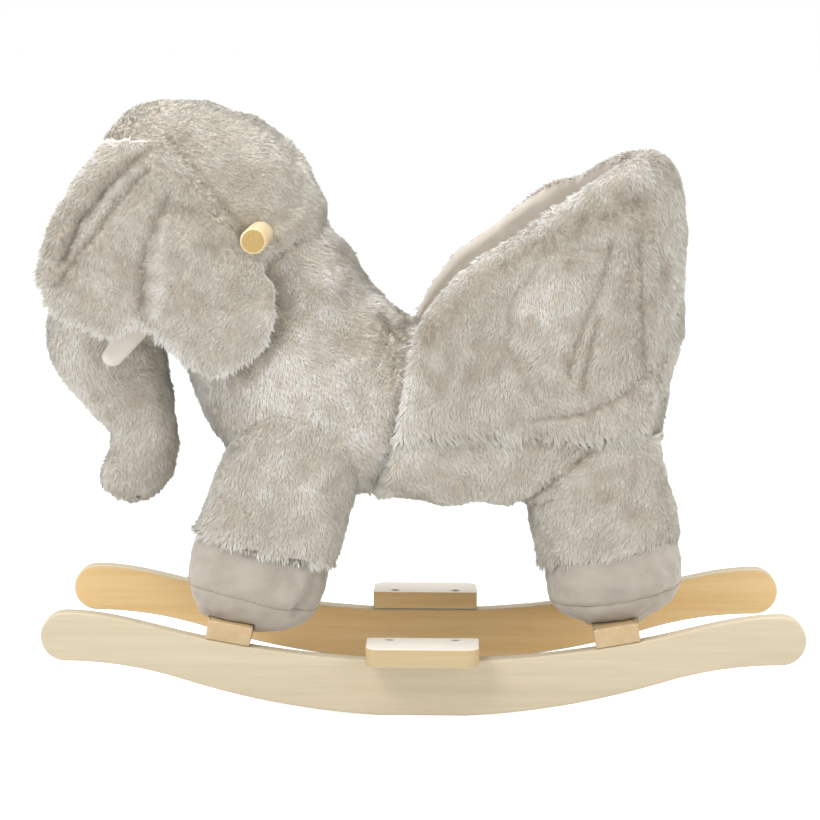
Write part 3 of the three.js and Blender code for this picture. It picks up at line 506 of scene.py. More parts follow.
def stuffed(name, form, inset, materials=groundAndLining, cutNumber=None):
    # the form with the soft dents of its filling and the grooves of its seams
    points, faces = stuffedForm(form, inset)
    lift = form.get("dent", dents["depth"]) * waves(points, dents["length"], 5)
    lift += dents["fineDepth"] * waves(points, dents["fineLength"], 6)
    side = np.clip(np.abs(points[:, 1] - form["y"]) / form["halfWidth"] * 2 - 0.6, 0, 1)
    for groove in form.get("grooves", []):
        lift -= groove["depth"] * nearLine(points, groove["line"], groove["width"]) * side
    points = points + outwardNormals(points, faces) * lift[:, None]
    which = None if cutNumber is None else np.full(len(faces), cutNumber)
    return meshObject(name, points, faces, materials, which)


def cutter(form, inset, gap=0.4):
    # a copy of a form, a little larger, that leaves lining-coloured faces where it cuts
    return stuffed("cutter", form, inset - gap, cutNumber=1)


def discard(*tools):
    # takes away what was only there to cut
    for tool in tools:
        bpy.data.objects.remove(tool)


# Pile: closed needles of three sides, rooted in the ground cloth and drawn together in tufts

coat = dict(
    length=6,  # mm
    width=1.12,
    rootDepth=0.6,  # mm under the cloth
    lean=58,  # degrees from the surface's normal
    leanSpread=11,
    leanLimits=(12, 80),
    tuft=4.4,  # mm between tufts
    pull=0.44,  # how far the tips go to their tuft's centre
    swirl=0.3,  # radians over swirlLength
    swirlLength=80,
    stray=0.38,  # radians, tuft by tuft
    lay=(0.3, 0, -1),
    density=0.53,  # needles per square mm
    most=49500,  # in one piece
    lengths=(0.78, 0.3, 0.2),  # the least share, and what luck adds by tuft and by needle
    tint=0.55,
    tintLuck=(0.12, 0.1),
    mottle=0.07,
    patch=34,  # mm, the patches that ruffle or lie sleek by themselves
    patchRuffle=0.35,
    patchSleek=0.4,
    creases=(),
    patches=(),
    fringe=None,
)
# what a place that is ruffled, or lies sleek, does to the pile there; the tints are painted light: ruffled
# places darker (painted shade), sleek ones paler (painted sheen)
ruffledWithPaintedShade = dict(swirl=0.9, lean=-20, length=-0.2, tint=-0.34, pull=0.4)
sleekWithPaintedSheen = dict(stray=-0.6, lean=16, tint=0.26, pull=-0.7)


def sample(ground, density, rng, *hidden):
    # roots spread evenly over the furred faces that lie outside the hidden shapes, and their normals
    skin = ground.copy()
    skin.data = ground.data.copy()
    scene.collection.objects.link(skin)
    if hidden:
        carve(skin, *hidden)
    mesh = skin.data
    mesh.calc_loop_triangles()
    count = len(mesh.loop_triangles)
    triangles, number = np.empty(count * 3, np.int32), np.empty(count, np.int32)
    mesh.loop_triangles.foreach_get("vertices", triangles)
    mesh.loop_triangles.foreach_get("material_index", number)
    points, triangles = pointsOf(mesh), triangles.reshape(-1, 3)[number == 0]
    discard(skin)
    normals = normalsOf(points, triangles)
    a, b, c = (points[triangles[:, i]] for i in range(3))
    area = np.linalg.norm(np.cross(b - a, c - a), axis=1) / 2
    wanted = int(area.sum() * density)
    where = (np.arange(wanted) + rng.random(wanted)) / wanted * area.sum()
    pick = np.searchsorted(np.cumsum(area), where).clip(0, len(area) - 1)
    u, v = rng.random((2, wanted, 1))
    u, v = np.where(u + v > 1, 1 - u, u), np.where(u + v > 1, 1 - v, v)
    root = a[pick] * (1 - u - v) + b[pick] * u + c[pick] * v
    na, nb, nc = (normals[triangles[pick, i]] for i in range(3))
    return root, unit(na * (1 - u - v) + nb * u + nc * v)


def pile(name, ground, seed, body="elephant", hidden=(), keep=None, edits=(), **changes):
    # The coat on a ground cloth, but for the roots inside the hidden shapes and those not to keep.
    # Patches are (x, z, reach in x, reach in z, amount): ruffled above zero, brushed flat below it; in the
    # tint that is painted shade where ruffled and painted sheen where flat.
    ask = {**coat, **changes}
    rng = np.random.default_rng(seed)
    root, normal = sample(ground, ask["density"], rng, *hidden)
    if keep is not None:
        held = keep(root, normal)
        root, normal = root[held], normal[held]
    count = len(root)
    centre, luck = tufts(root, ask["tuft"], seed)
    own = rng.random((count, 3))
    # where the pile is ruffled or lies sleek: here and there by itself, and by its creases and patches
    drift = waves(root, ask["patch"], seed + 4)
    ruffle = ask["patchRuffle"] * (drift - 0.9).clip(0, 1)
    sleek = ask["patchSleek"] * (-drift - 0.5).clip(0, 1)
    weights = [fold["ruffle"] * nearLine(root, fold["line"], fold["width"]) for fold in ask["creases"]]
    for x, z, reachX, reachZ, amount in ask["patches"]:
        offX = (root[:, 0] - x + 5 * waves(root, 40, seed + 7)) / reachX
        offZ = (root[:, 2] - z + 5 * waves(root, 40, seed + 8)) / reachZ
        weights.append(amount * np.exp(-((offX**2 + offZ**2) ** 1.5)))
    for weight in weights:
        ruffle, sleek = np.maximum(ruffle, weight), np.maximum(sleek, -weight)
    sleek *= 1 - ruffle
    # which way it lies along the cloth: the lay, turned by swirls, ruffles, tufts and each needle's luck
    lay = ask["lay"]
    tangent = unit(lay - (lay * normal).sum(1, keepdims=True) * normal)
    across = np.cross(normal, tangent)
    turn = ask["swirl"] * waves(root, ask["swirlLength"], seed + 2)
    turn = turn + ruffle * waves(root, 9, seed + 3) * ruffledWithPaintedShade["swirl"]
    loose = ask["stray"] * 2 * (luck[:, 0] - 0.5) + 0.25 * (own[:, 0] - 0.5)
    turn += (1 + sleekWithPaintedSheen["stray"] * sleek) * loose
    way = np.cos(turn)[:, None] * tangent + np.sin(turn)[:, None] * across
    lean = ask["lean"] + ask["leanSpread"] * (luck[:, 1] - 0.5) * 2
    lean = lean + ruffledWithPaintedShade["lean"] * ruffle + sleekWithPaintedSheen["lean"] * sleek
    least, byTuft, byNeedle = ask["lengths"]
    length = ask["length"] * (least + byTuft * luck[:, 2] + byNeedle * (own[:, 1] - 0.5))
    length = length * (1 + ruffledWithPaintedShade["length"] * ruffle)
    tint = ask["tint"] + ask["mottle"] * (waves(root, 26, seed + 5) + 0.7 * waves(root, 80, seed + 6))
    byTuft, byNeedle = ask["tintLuck"]
    luckTint = byTuft * (luck[:, 2] - 0.5) + byNeedle * (own[:, 0] - 0.5)
    # creases and ruffled patches get painted shade, sleek ones painted sheen
    tint += luckTint + ruffledWithPaintedShade["tint"] * ruffle + sleekWithPaintedSheen["tint"] * sleek
    fringe = ask["fringe"]
    if fringe:
        near = nearLine(root, fringe["line"], fringe["reach"])
        length *= 1 + fringe["grow"] * near * (0.4 + 1.2 * luck[:, 0])
        tint += fringe["tint"] * near
        lean += fringe["flat"] * near
    for edit in edits:
        way, lean, length, tint = edit(root, way, lean, length, tint)
    # the tip, drawn to its tuft's centre, and a foot of three corners sunk in the cloth
    lean = np.radians(lean.clip(*ask["leanLimits"]))
    point = np.cos(lean)[:, None] * normal + np.sin(lean)[:, None] * way
    gather = centre - root
    gather -= (gather * normal).sum(1, keepdims=True) * normal
    pull = ask["pull"] * (1 + ruffledWithPaintedShade["pull"] * ruffle + sleekWithPaintedSheen["pull"] * sleek)
    tip = root + point * length[:, None] + gather * pull[:, None]
    axis = unit(tip - root)
    side = unit(np.cross(axis, normal))
    above = np.cross(axis, side)
    radius = ask["width"] * (0.8 + 0.4 * own[:, 2])[:, None] / math.sqrt(3)
    foot = root - ask["rootDepth"] * normal
    turns = 2 * np.pi * np.arange(3) / 3 + np.pi / 2
    spokes = [radius * (math.cos(t) * side + 0.7 * math.sin(t) * above) for t in turns]
    corners = np.stack([foot + spoke for spoke in spokes] + [tip], 1)
    shade = unit(normal[:, None] + unit(np.stack([*spokes, axis], 1)))
    halves = {"": np.ones(count, bool)}
    if count > ask["most"]:
        halves = {"_left": root[:, 1] < 0, "_right": root[:, 1] >= 0}
    for half, part in halves.items():
        part = np.flatnonzero(part)[: ask["most"]]
        shown = tint[part].clip(0.01, 0.98)
        shown[:2] = 0.01, 0.98  # so that the map spans the ramp
        settle(needles(name + half, corners[part], shown, shade[part]), "fur", body=body)
    print(name, count, "needles")


def overSeam(line, reach, push, paintedLight=0.0):
    # near the seam the pile turns to the push, and lies longer and flatter over the join; its tint there is
    # painted light, paler as painted sheen, or darker as painted shade below zero
    def edit(root, way, lean, length, tint):
        near = nearLine(root, line, reach)
        way = unit(way + near[:, None] * push)
        return way, lean + 8 * near, length * (1 + 0.3 * near), tint + paintedLight * near

    return edit


def needles(name, corners, tint, shade):
    # one mesh of needles: four corners each, three sides and a foot, and a map of tint and height
    count = len(corners)
    sidesOf = np.array([[0, 1, 3], [1, 2, 3], [2, 0, 3], [0, 2, 1]])
    loops = (np.arange(count)[:, None, None] * 4 + sidesOf).ravel()
    mesh = bpy.data.meshes.new(name)
    mesh.vertices.add(count * 4)
    mesh.vertices.foreach_set("co", (corners * mm).ravel())
    mesh.loops.add(len(loops))
    mesh.loops.foreach_set("vertex_index", loops)
    mesh.polygons.add(count * 4)
    mesh.polygons.foreach_set("loop_start", np.arange(count * 4) * 3)
    # across the map, each needle's tint give or take a little; up it, 0 at the roots and 1 at the tips
    place = np.empty((count, 4, 3, 2))
    half = 0.004
    place[..., 0] = tint[:, None, None]
    place[:, :, 0, 0] -= half
    place[:, :, 1, 0] += half
    place[:, :3, :2, 1] = 0.02
    place[:, :3, 2, 1] = 0.98
    place[:, 3, :, 1] = (0.01, 0.01, 0.03)
    mesh.uv_layers.new(name="OFBake").data.foreach_set("uv", place.clip(0, 1).ravel())
    mesh.materials.append(fauxFur)
    mesh.update(calc_edges=True)
    mesh.shade_smooth()
    mesh.normals_split_custom_set_from_vertices(shade.reshape(-1, 3).tolist())
    made = bpy.data.objects.new(name, mesh)
    scene.collection.objects.link(made)
    return made


# The elephant's stuffed parts: places are the front, the foot, the length and the height in mm

furInset = 5  # the ground cloth lies this far under the coat's surface
# folds of the head and neck, as lines in the X-Z plane; where they ruffle the pile it is also painted darker,
# painted shade in the folds
brow = dict(line=[(-251, 572), (-256, 556)], width=5, depth=3, ruffle=0.8)
earShade = dict(line=[(-243, 541), (-202, 494), (-165, 448)], width=4.5, depth=3.5, ruffle=0.9)
neckShade = dict(line=[(-156, 434), (-139, 400), (-136, 372), (-146, 345), (-172, 322)], width=9, ruffle=1)
neckFold = dict(line=[(-140, 462), (-116, 473), (-92, 480)], width=8, ruffle=0.3)
midForm = dict(y=0, squareness=2.4)
chest = dict(
    midForm,
    place=(-240, 184, 232, 280),
    halfWidth=112,
    domes=(10, 0.3),
    ends=(1, 0),
    rows=[
        (0.62, 1, 0.03, 0.64, 0.6), (0.73, 0.89, 0, 0.54, 0.72), (0.797, 0.796, 0.05, 0.435, 0.82),
        (0.859, 0.729, 0.085, 0.335, 0.9), (0.93, 0.68, 0.165, 0.215, 0.96),
        (0.97, 0.65, 0.27, 0.1, 0.99), (0.985, 0.64, 0.56, 0.045, 1), (1, 0.635, 0.862, 0.03, 1),
    ],
    fill=0.8,
    coat=dict(
        seed=11,
        # a paler tint than the other pieces: painted light that lifts the chest out of the head's and ear's
        # shade
        tint=0.78,
        creases=[neckShade],
        patches=[
            (-50, 354, 40, 17, 0.9), (-136, 448, 26, 20, 0.9), (-34, 318, 9, 26, 0.8),
            (-130, 312, 50, 36, -0.7),
        ],
    ),
)
head = dict(
    midForm,
    place=(-352, 330, 260, 247),
    halfWidth=95,
    domes=(6, 5),
    rows=[
        (0.01, 0.51, 0.01, 0.22, 0.25), (0.04, 0.66, 0.04, 0.13, 0.5), (0.145, 0.8, 0.12, 0.06, 0.72),
        (0.22, 0.93, 0.22, 0.02, 0.88), (0.34, 0.99, 0.34, 0, 0.97), (0.44, 1, 0.44, 0.01, 1),
        (0.59, 0.97, 0.59, 0.06, 0.97), (0.71, 0.93, 0.71, 0.13, 0.86), (0.802, 0.882, 0.8, 0.2, 0.76),
        (0.882, 0.785, 0.88, 0.28, 0.66), (0.953, 0.64, 0.95, 0.385, 0.53),
        (0.978, 0.525, 0.978, 0.455, 0.38),
    ],
    grooves=[brow, earShade],
    fill=0.85,
    coat=dict(
        seed=21,
        tint=0.6,
        length=5.6,
        lay=(0.9, 0, -0.75),
        creases=[brow, earShade, neckFold],
        patches=[
            (-230, 545, 18, 12, -0.5), (-136, 455, 24, 18, 0.8), (-165, 505, 20, 20, 0.4),
            (-290, 548, 24, 20, -0.25),
        ],
    ),
)
trunk = dict(
    midForm,
    place=(-359, 184, 120, 216),
    halfWidth=55,
    domes=(4, 8),
    dent=1.0,
    rows=[
        (0.09, 1.07, 0.81, 1.05, 0.8), (-0.02, 0.97, 0.84, 0.95, 0.93), (-0.08, 0.87, 0.89, 0.84, 1),
        (-0.095, 0.745, 0.91, 0.7, 0.98), (-0.02, 0.59, 0.94, 0.56, 0.9),
        (0.18, 0.455, 0.975, 0.42, 0.8), (0.385, 0.345, 1.01, 0.305, 0.7),
        (0.405, 0.25, 1, 0.215, 0.64), (0.325, 0.155, 0.965, 0.13, 0.64),
        (0.315, 0.075, 0.875, 0.06, 0.56), (0.465, 0.01, 0.76, 0.005, 0.34),
    ],
    fill=0.8,
    coat=dict(
        seed=31, tint=0.7, lay=(-0.15, 0, -1), patches=[(-283, 300, 20, 44, 0.55), (-340, 330, 16, 40, -0.7)]
    ),
)
# seams and folds of the seat; where they ruffle the pile it is also painted darker, painted shade in the
# folds
hipSeam = dict(line=[(88, 196), (115, 217), (134, 234), (158, 252)], width=3, depth=6, ruffle=1)
overHip = [(104, 281), (148, 287), (176, 299), (206, 320), (228, 334)]
foldLine = dict(line=overHip, width=4, depth=3.5, ruffle=1)
cornerSeam = dict(line=[(199, 446), (203, 380), (206, 322)], width=4, depth=3, ruffle=0.9)
bellyFold = dict(line=[(-52, 224), (-36, 219), (-20, 213)], width=4, depth=2, ruffle=0.7)
wrinkles = [
    dict(line=[(173, 447), (164, 411), (139, 344), (135, 324)], width=4, depth=3.2, ruffle=0.9),
    dict(line=[(161, 376), (154, 344), (147, 312)], width=3.5, depth=2.4, ruffle=0.8),
]
roundPanel = [(163, 441), (113, 438), (80, 393), (78, 351), (104, 300)]
panelEdge = dict(line=roundPanel, width=4, depth=1.8, ruffle=0.5)
underRim = [(3, 362), (44, 406), (91, 437), (124, 452), (153, 470), (196, 482), (207, 452)]
rimRuffle = dict(line=underRim, width=11, ruffle=0.95)
rimEdge = [(-18, 352), (-6, 376), (16, 396), (54, 427), (90, 451), (127, 478), (150, 499), (192, 528)]
# brushed flat along the rim's edge and painted paler there: painted sheen
rimBand = dict(line=rimEdge, width=9, ruffle=-0.6)
backSeam = [(218, 264), (218, 528)]
rimTop = [(74, 446), (100, 464), (129, 484), (150, 503)]
seatSeam = [(-41.6, 184), (-8, 361.8)]
deckJoint = dict(line=[(-60, 264), (260, 264)], reach=6, grow=1.2, tint=0, flat=9)
seatCreases = [foldLine, cornerSeam, *wrinkles, panelEdge]
wingPatches = [
    (110, 388, 34, 46, -1), (-14, 292, 15, 62, -1), (62, 352, 22, 26, 0.6), (188, 400, 12, 40, 0.5),
    (190, 514, 26, 11, -1),
]
underbody = dict(
    place=(-41.6, 182, 267, 118),
    y=0,
    halfWidth=117,
    squareness=8,  # nearly flat sides
    domes=(0.3, 4),
    ends=(0, 1),
    around=160,
    rows=[
        (0.09, 1, 0.006, 0.16, 0.97), (0.16, 1, 0.16, 0.12, 1), (0.3, 1, 0.3, 0.1, 1),
        (0.5, 1, 0.5, 0.08, 1), (0.74, 1, 0.74, 0.09, 0.985), (0.85, 1, 0.85, 0.1, 0.93),
        (0.94, 1, 0.945, 0.14, 0.81), (0.985, 1, 1.01, 0.23, 0.62),
    ],
    grooves=[hipSeam, bellyFold],
    fill=0.8,
    coat=dict(
        seed=41, creases=[hipSeam, bellyFold], patches=[(30, 240, 46, 18, -0.5), (100, 268, 70, 10, 0.6)]
    ),
)
legShape = dict(halfWidth=56, squareness=2.4, domes=(1, 1.5), ends=(0.4, 1), dent=1.0, rings=60, fill=0.7)
legCoat = dict(lay=(-0.1, 0, -1), length=5.8, tuft=4.6)
legs = {
    "front": dict(
        legShape,
        place=(-219, 125.7, 169, 150.3),
        coat=dict(legCoat, seed=50, tint=0.66),
        rows=[
            (0.815, 0.055, -0.03, 0.29, 0.98), (0.838, 0.15, 0.005, 0.365, 1),
            (0.88, 0.29, 0.045, 0.47, 0.99), (0.93, 0.49, 0.1, 0.64, 0.95),
            (0.975, 0.73, 0.185, 0.83, 0.88), (0.99, 0.93, 0.3, 1, 0.76), (0.97, 1.12, 0.38, 1.22, 0.5),
        ],
    ),
    "rear": dict(
        legShape,
        place=(90, 132.7, 157, 122.3),
        coat=dict(legCoat, seed=60, tint=0.56, creases=[hipSeam]),
        rows=[
            (0.985, 0.25, 0.1, 0.025, 0.96), (0.995, 0.34, 0.085, 0.13, 1),
            (0.975, 0.47, 0.06, 0.29, 0.99), (0.935, 0.65, 0.03, 0.48, 0.95),
            (0.895, 0.835, 0.01, 0.73, 0.9), (0.85, 0.985, 0.015, 0.96, 0.82),
            (0.8, 1.2, 0.1, 1.22, 0.6),
        ],
        grooves=[{**hipSeam, "depth": 4}],
    ),
}
footShape = dict(halfWidth=55, squareness=2.8, domes=(3, 4), dent=0.7, rings=80)
feet = {
    "front": dict(
        footShape,
        place=(-225, 71.7, 137, 92),
        rows=[
            (0.695, 0.01, 0.33, 0.04, 0.45), (0.82, 0.09, 0.16, 0.14, 0.75),
            (0.905, 0.26, 0.065, 0.27, 0.92), (0.965, 0.48, 0.015, 0.47, 1),
            (0.97, 0.67, 0.015, 0.73, 0.94), (0.94, 0.86, 0.06, 0.98, 0.85),
            (0.88, 1.05, 0.13, 1.22, 0.74),
        ],
        sole=[(-235, 122), (-207, 118), (-172, 111), (-139, 101), (-90, 92)],
        wrinkles=[
            dict(line=[(-121, 134), (-114, 118), (-118, 100)], width=4, depth=2.2),
            dict(line=[(-99, 131), (-102, 119), (-109, 106), (-119, 94)], width=5, depth=9),
        ],
    ),
    "rear": dict(
        footShape,
        place=(115, 78.7, 131, 90),
        rows=[
            (0.69, 0.055, 0.305, 0.02, 0.45), (0.85, 0.2, 0.14, 0.13, 0.75),
            (0.94, 0.32, 0.05, 0.28, 0.92), (0.99, 0.52, 0.015, 0.455, 1),
            (0.985, 0.72, 0.015, 0.655, 0.94), (0.95, 0.94, 0.05, 0.82, 0.86),
            (0.88, 1.15, 0.12, 1.02, 0.76),
        ],
        sole=[(108, 102), (127, 104), (154, 104), (188, 109), (223, 116), (252, 124)],
        wrinkles=[dict(line=[(224, 152), (234, 134), (229, 114)], width=4, depth=2.4)],
    ),
}
deckHeight = 262
legSpread = 70
thread = dict(radius=0.65, thinnest=0.45, stitch=3.2, steps=560, corners=6)


def placed(form, shares):
    # points of the X-Z plane, from shares of the form's length and height
    x, z, length, height = form["place"]
    return [(x + along * length, z + up * height) for along, up in shares]


def soleThread(name, shoe, foot):
    # Where the sole's seam runs round the shoe, a thread lies half sunk in the cloth, stitch by stitch:
    # the mesh's edges that cross the seam's height give its radius at each angle round the foot.
    edges = np.empty(len(shoe.data.edges) * 2, np.int32)
    shoe.data.edges.foreach_get("vertices", edges)
    points, edges = pointsOf(shoe.data), edges.reshape(-1, 2)
    x, z = np.array(foot["sole"]).T
    above = points[:, 2] - np.interp(points[:, 0], x, z)
    over, under = above[edges].T
    crossed = over * under < 0
    a, b = points[edges[crossed, 0]], points[edges[crossed, 1]]
    met = a + (over[crossed] / (over[crossed] - under[crossed]))[:, None] * (b - a)
    centre = np.array([(met[:, 0].max() + met[:, 0].min()) / 2, foot["y"]])
    off = met[:, :2] - centre
    turn = 2 * np.pi * np.arange(thread["steps"]) / thread["steps"]
    reach = np.interp(turn, np.arctan2(off[:, 1], off[:, 0]), np.hypot(*off.T), period=2 * np.pi)
    flat = centre + reach[:, None] * np.stack([np.cos(turn), np.sin(turn)], 1)
    path = np.column_stack([flat, np.interp(flat[:, 0], x, z)])
    along = unit(np.roll(path, -1, 0) - np.roll(path, 1, 0))
    out = unit(np.cross(along, (0, 0, 1)))
    up = np.cross(out, along)
    run = np.cumsum(np.linalg.norm(path - np.roll(path, 1, 0), axis=1))
    swell = np.abs(np.sin(np.pi * run / thread["stitch"]))
    thick = thread["radius"] * (thread["thinnest"] + (1 - thread["thinnest"]) * swell)
    corners = thread["corners"]
    spin = 2 * np.pi * np.arange(corners)[None, :, None] / corners
    ring = np.cos(spin) * out[:, None] + np.sin(spin) * up[:, None]
    tube = (path[:, None] + thick[:, None, None] * ring).reshape(-1, 3)
    i, k = (grid.ravel() for grid in np.meshgrid(np.arange(len(path)), np.arange(corners), indexing="ij"))
    j, n = (i + 1) % len(path), (k + 1) % corners
    faces = np.stack([i * corners + k, i * corners + n, j * corners + n, j * corners + k], 1).tolist()
    settle(meshObject(name, tube, faces, [seamThread]), "short_pile")


def furred(name, form, node, tools=(), **extra):
    # a stuffed piece: its ground cloth, cut away where another piece begins, and the coat on it
    cloth = stuffed(f"{name}_cloth", form, furInset)
    if tools:
        carve(cloth, *tools)
    settle(cloth, "fur", node, fill=form["fill"])
    pile(f"{name}_pile", cloth, **{**form["coat"], **extra})


def buildBody():
    chestTool, headTool, underbodyTool = (cutter(form, furInset) for form in (chest, head, underbody))
    deep = furInset + 5
    pairs = [(end, side) for end in legs for side in sides]
    legForms = {(end, side): {**legs[end], "y": sides[side] * legSpread} for end, side in pairs}
    deepHead, *deepLegs = (cutter(form, deep) for form in (head, *legForms.values()))
    frontLegs, rearLegs = deepLegs[:2], deepLegs[2:]
    aboveDeck = boxCutter(lambda p: p + (0, 0, deckHeight + 150), (800, 600, 300), groundAndLining, [1] * 6)

    furred(
        "chest",
        chest,
        "chest_plush",
        hidden=[deepHead, *frontLegs],
        keep=lambda root, normal: (normal[:, 0] <= 0.75) | (root[:, 0] <= -50),  # the bucket's front is lined
        edits=[overSeam(seatSeam, 7, (0.7, 0, 0), -0.1)],
    )
    furred("head", head, "head_plush", [chestTool])
    furred("trunk", trunk, "trunk_plush", [headTool, chestTool])
    furred(
        "underbody",
        underbody,
        "seat_underbody_plush",
        [chestTool, aboveDeck],
        hidden=rearLegs,
        edits=[overSeam(seatSeam, 7, (-1.2, 0, 0), 0.1), overSeam(deckJoint["line"], 4, (0, 0, 1.1))],
    )
    for (end, side), form in legForms.items():
        cuff = form["rows"][0]
        furred(
            f"{end}_leg_{side}",
            form,
            f"{end}_leg_{side}",
            [chestTool, underbodyTool],
            seed=form["coat"]["seed"] + (side == "right"),
            fringe=dict(line=placed(form, [cuff[:2], cuff[2:4]]), reach=7, grow=0.6, tint=0.12, flat=13),
            keep=lambda root, normal: normal[:, 2] > -0.8,  # none under the hem
        )
        foot = {**feet[end], "y": form["y"]}
        foot["grooves"] = [dict(line=foot["sole"], width=2.2, depth=1.4), *foot["wrinkles"]]
        shoe = stuffed(f"{end}_foot_{side}_cloth", foot, 0, [velboa, velboa])
        sleeveTool, barTool = cutter(form, furInset), barCutter(end)
        carve(shoe, sleeveTool, barTool)
        settle(shoe, "short_pile", f"{end}_foot_{side}", fill=0.85)
        soleThread(f"{end}_foot_{side}_thread", shoe, foot)
        discard(sleeveTool, barTool)
    discard(chestTool, headTool, underbodyTool, aboveDeck, deepHead, *deepLegs)
    print("body ready")


# Wood

rocker = dict(
    length=720,
    thickness=18,
    outerWidth=250,
    bottomRadius=760,
    bottomReach=226,
    restFlat=80,
    topRadius=1040,
    waist=53.5,
    endRadius=23.3,
    endHeight=73.7,
    edge=2.2,
)
bar = dict(reach=184, width=42, thickness=18, seatMargin=2, edge=1.6, room=1.1)
footrest = dict(length=106, overhang=34, thickness=17.5, corner=12, edge=1.6, screwSpacing=62)
# screws, as points of radius and height over the wood: the countersunk hole, the head and the cross in it
sinkHole = [(0, -20), (2.5, -20), (2.5, -3.6), (4.6, -0.9), (4.8, 1), (0, 1)]
shank = [(0, -42), (1, -40), (2, -36), (2, -4.2)]
screw = shank + [(2.1, -3.6), (4, -1.1), (4.2, -0.9), (4.1, -0.65), (0, -0.6)]
recess = dict(length=4.4, width=0.9, height=3, middle=-0.6)
seamGap = 0.3


def board(name, outline, size, place, material):
    # a sawn board: its closed outline, drawn in along a quarter circle at both faces
    thickness, edge = size["thickness"], size["edge"]
    steps = np.linspace(0, np.pi / 2, 5)
    inset = edge * (1 - np.sin(steps))
    level = edge * (1 - np.cos(steps)) - thickness / 2
    insets, levels = np.concatenate([inset, inset[::-1]]), np.concatenate([level, -level[::-1]])
    tangent = unit(np.roll(outline, -1, 0) - np.roll(outline, 1, 0))
    outwards = np.stack([tangent[:, 1], -tangent[:, 0]], 1)
    area = (outline[:, 0] * np.roll(outline[:, 1], -1) - np.roll(outline[:, 0], -1) * outline[:, 1]).sum()
    outwards *= np.sign(area)
    count = len(outline)
    layers = [np.column_stack([outline - i * outwards, np.full(count, h)]) for i, h in zip(insets, levels)]
    faces = tubeFaces(len(layers), count, capped=False)
    faces += [list(range(count))[::-1], list(range((len(layers) - 1) * count, len(layers) * count))]
    made = meshObject(name, place(np.vstack(layers)), faces, [material])
    sharpen(made)
    return made


def extraFace(piece, material, chosen):
    # gives the faces whose normals are chosen a further material
    piece.data.materials.append(material)
    polygons = piece.data.polygons
    normals, which = np.empty(len(polygons) * 3), np.empty(len(polygons), np.int32)
    polygons.foreach_get("normal", normals)
    polygons.foreach_get("material_index", which)
    which[chosen(normals.reshape(-1, 3))] = len(piece.data.materials) - 1
    polygons.foreach_set("material_index", which)


def bezier(a, b, c, d, count):
    # a cubic curve from a to d, drawn towards b and then c
    t = np.linspace(0, 1, count)[:, None]
    return (1 - t) ** 3 * a + 3 * (1 - t) ** 2 * t * b + 3 * (1 - t) * t**2 * c + t**3 * d


def barSeat():
    # where a bar's flat seat starts and ends on the rocker's top edge
    outer = bar["reach"] + bar["width"] / 2 + bar["seatMargin"]
    return outer - bar["width"] - 2 * bar["seatMargin"], outer


def rockerTop(x):
    # the height of the top edge: flat under the footrest, and then an arc that rises to the ends
    flat = footrest["length"] / 2 + bar["seatMargin"]
    rise = lambda reach: rocker["topRadius"] - np.sqrt(rocker["topRadius"] ** 2 - reach**2)
    return rocker["waist"] + np.maximum(0, rise(x) - rise(flat))


def rockerOutline():
    # the bottom arc, a reverse curve to the round end, and the top edge with its flat seats
    radius, flatHalf = rocker["bottomRadius"], rocker["restFlat"] / 2
    centre = math.sqrt(radius**2 - flatHalf**2)
    first, last = math.asin(flatHalf / radius), math.asin(rocker["bottomReach"] / radius)
    turn = np.linspace(first, last, 26)
    bottom = np.stack([radius * np.sin(turn), centre - radius * np.cos(turn)], 1)
    endZ, endRadius = rocker["endHeight"], rocker["endRadius"]
    endX = rocker["length"] / 2 - endRadius
    pull = (endX - bottom[-1, 0]) / 3
    low = np.array([endX, endZ - endRadius])
    under = bezier(bottom[-1], bottom[-1] + (pull, pull * math.tan(last)), low - (pull, 0), low, 22)
    rounding = np.linspace(-np.pi / 2, np.pi / 2, 22)[1:-1]
    end = np.stack([endX + endRadius * np.cos(rounding), endZ + endRadius * np.sin(rounding)], 1)
    inner, outer = barSeat()
    high, seat = np.array([endX, endZ + endRadius]), np.array([outer, rockerTop(outer)])
    slope = outer / rocker["topRadius"]
    pull = (endX - outer) / 3
    over = bezier(high, high - (pull, 0), seat + (pull, slope * pull), seat, 22)
    x = np.linspace(inner, footrest["length"] / 2 + bar["seatMargin"], 14)
    top = np.stack([x, rockerTop(x)], 1)
    half = np.vstack([bottom, under[1:], end, over, top])
    return np.vstack([half, (half * (-1, 1))[::-1]])


def barPlace(end):
    # from a bar's own frame, with its origin at the bar's middle, to its place on the rockers
    inner, outer = barSeat()
    tilt = math.atan2(rockerTop(outer) - rockerTop(inner), outer - inner)
    seat = (rockerTop(outer) + rockerTop(inner)) / 2
    way = -1 if end == "front" else 1
    lift = seamGap + bar["thickness"] / 2
    middleX, middleZ = way * (bar["reach"] - lift * math.sin(tilt)), seat + lift * math.cos(tilt)
    c, s = math.cos(way * tilt), math.sin(way * tilt)

    def place(points):
        x, y, z = points.T
        return np.stack([middleX + x * c - z * s, y, middleZ + x * s + z * c], 1)

    return place


def barCutter(end):
    # room for the bar under a foot
    size = np.array([bar["width"], rocker["outerWidth"], bar["thickness"]]) + 2 * bar["room"]
    return boxCutter(barPlace(end), size, [velboa])


def rectangle(halfX, halfY, radii, steps=7):
    # a rectangle whose corners, from +X+Y round to +X-Y, are arcs of those radii
    points = []
    for i, (radius, sx, sy) in enumerate(zip(radii, (1, -1, -1, 1), (1, 1, -1, -1))):
        turn = np.pi / 2 * i + np.linspace(0, np.pi / 2, steps)
        centre = np.array([sx * (halfX - radius), sy * (halfY - radius)])
        points.append(centre + radius * np.stack([np.cos(turn), np.sin(turn)], 1))
    return np.vstack(points)


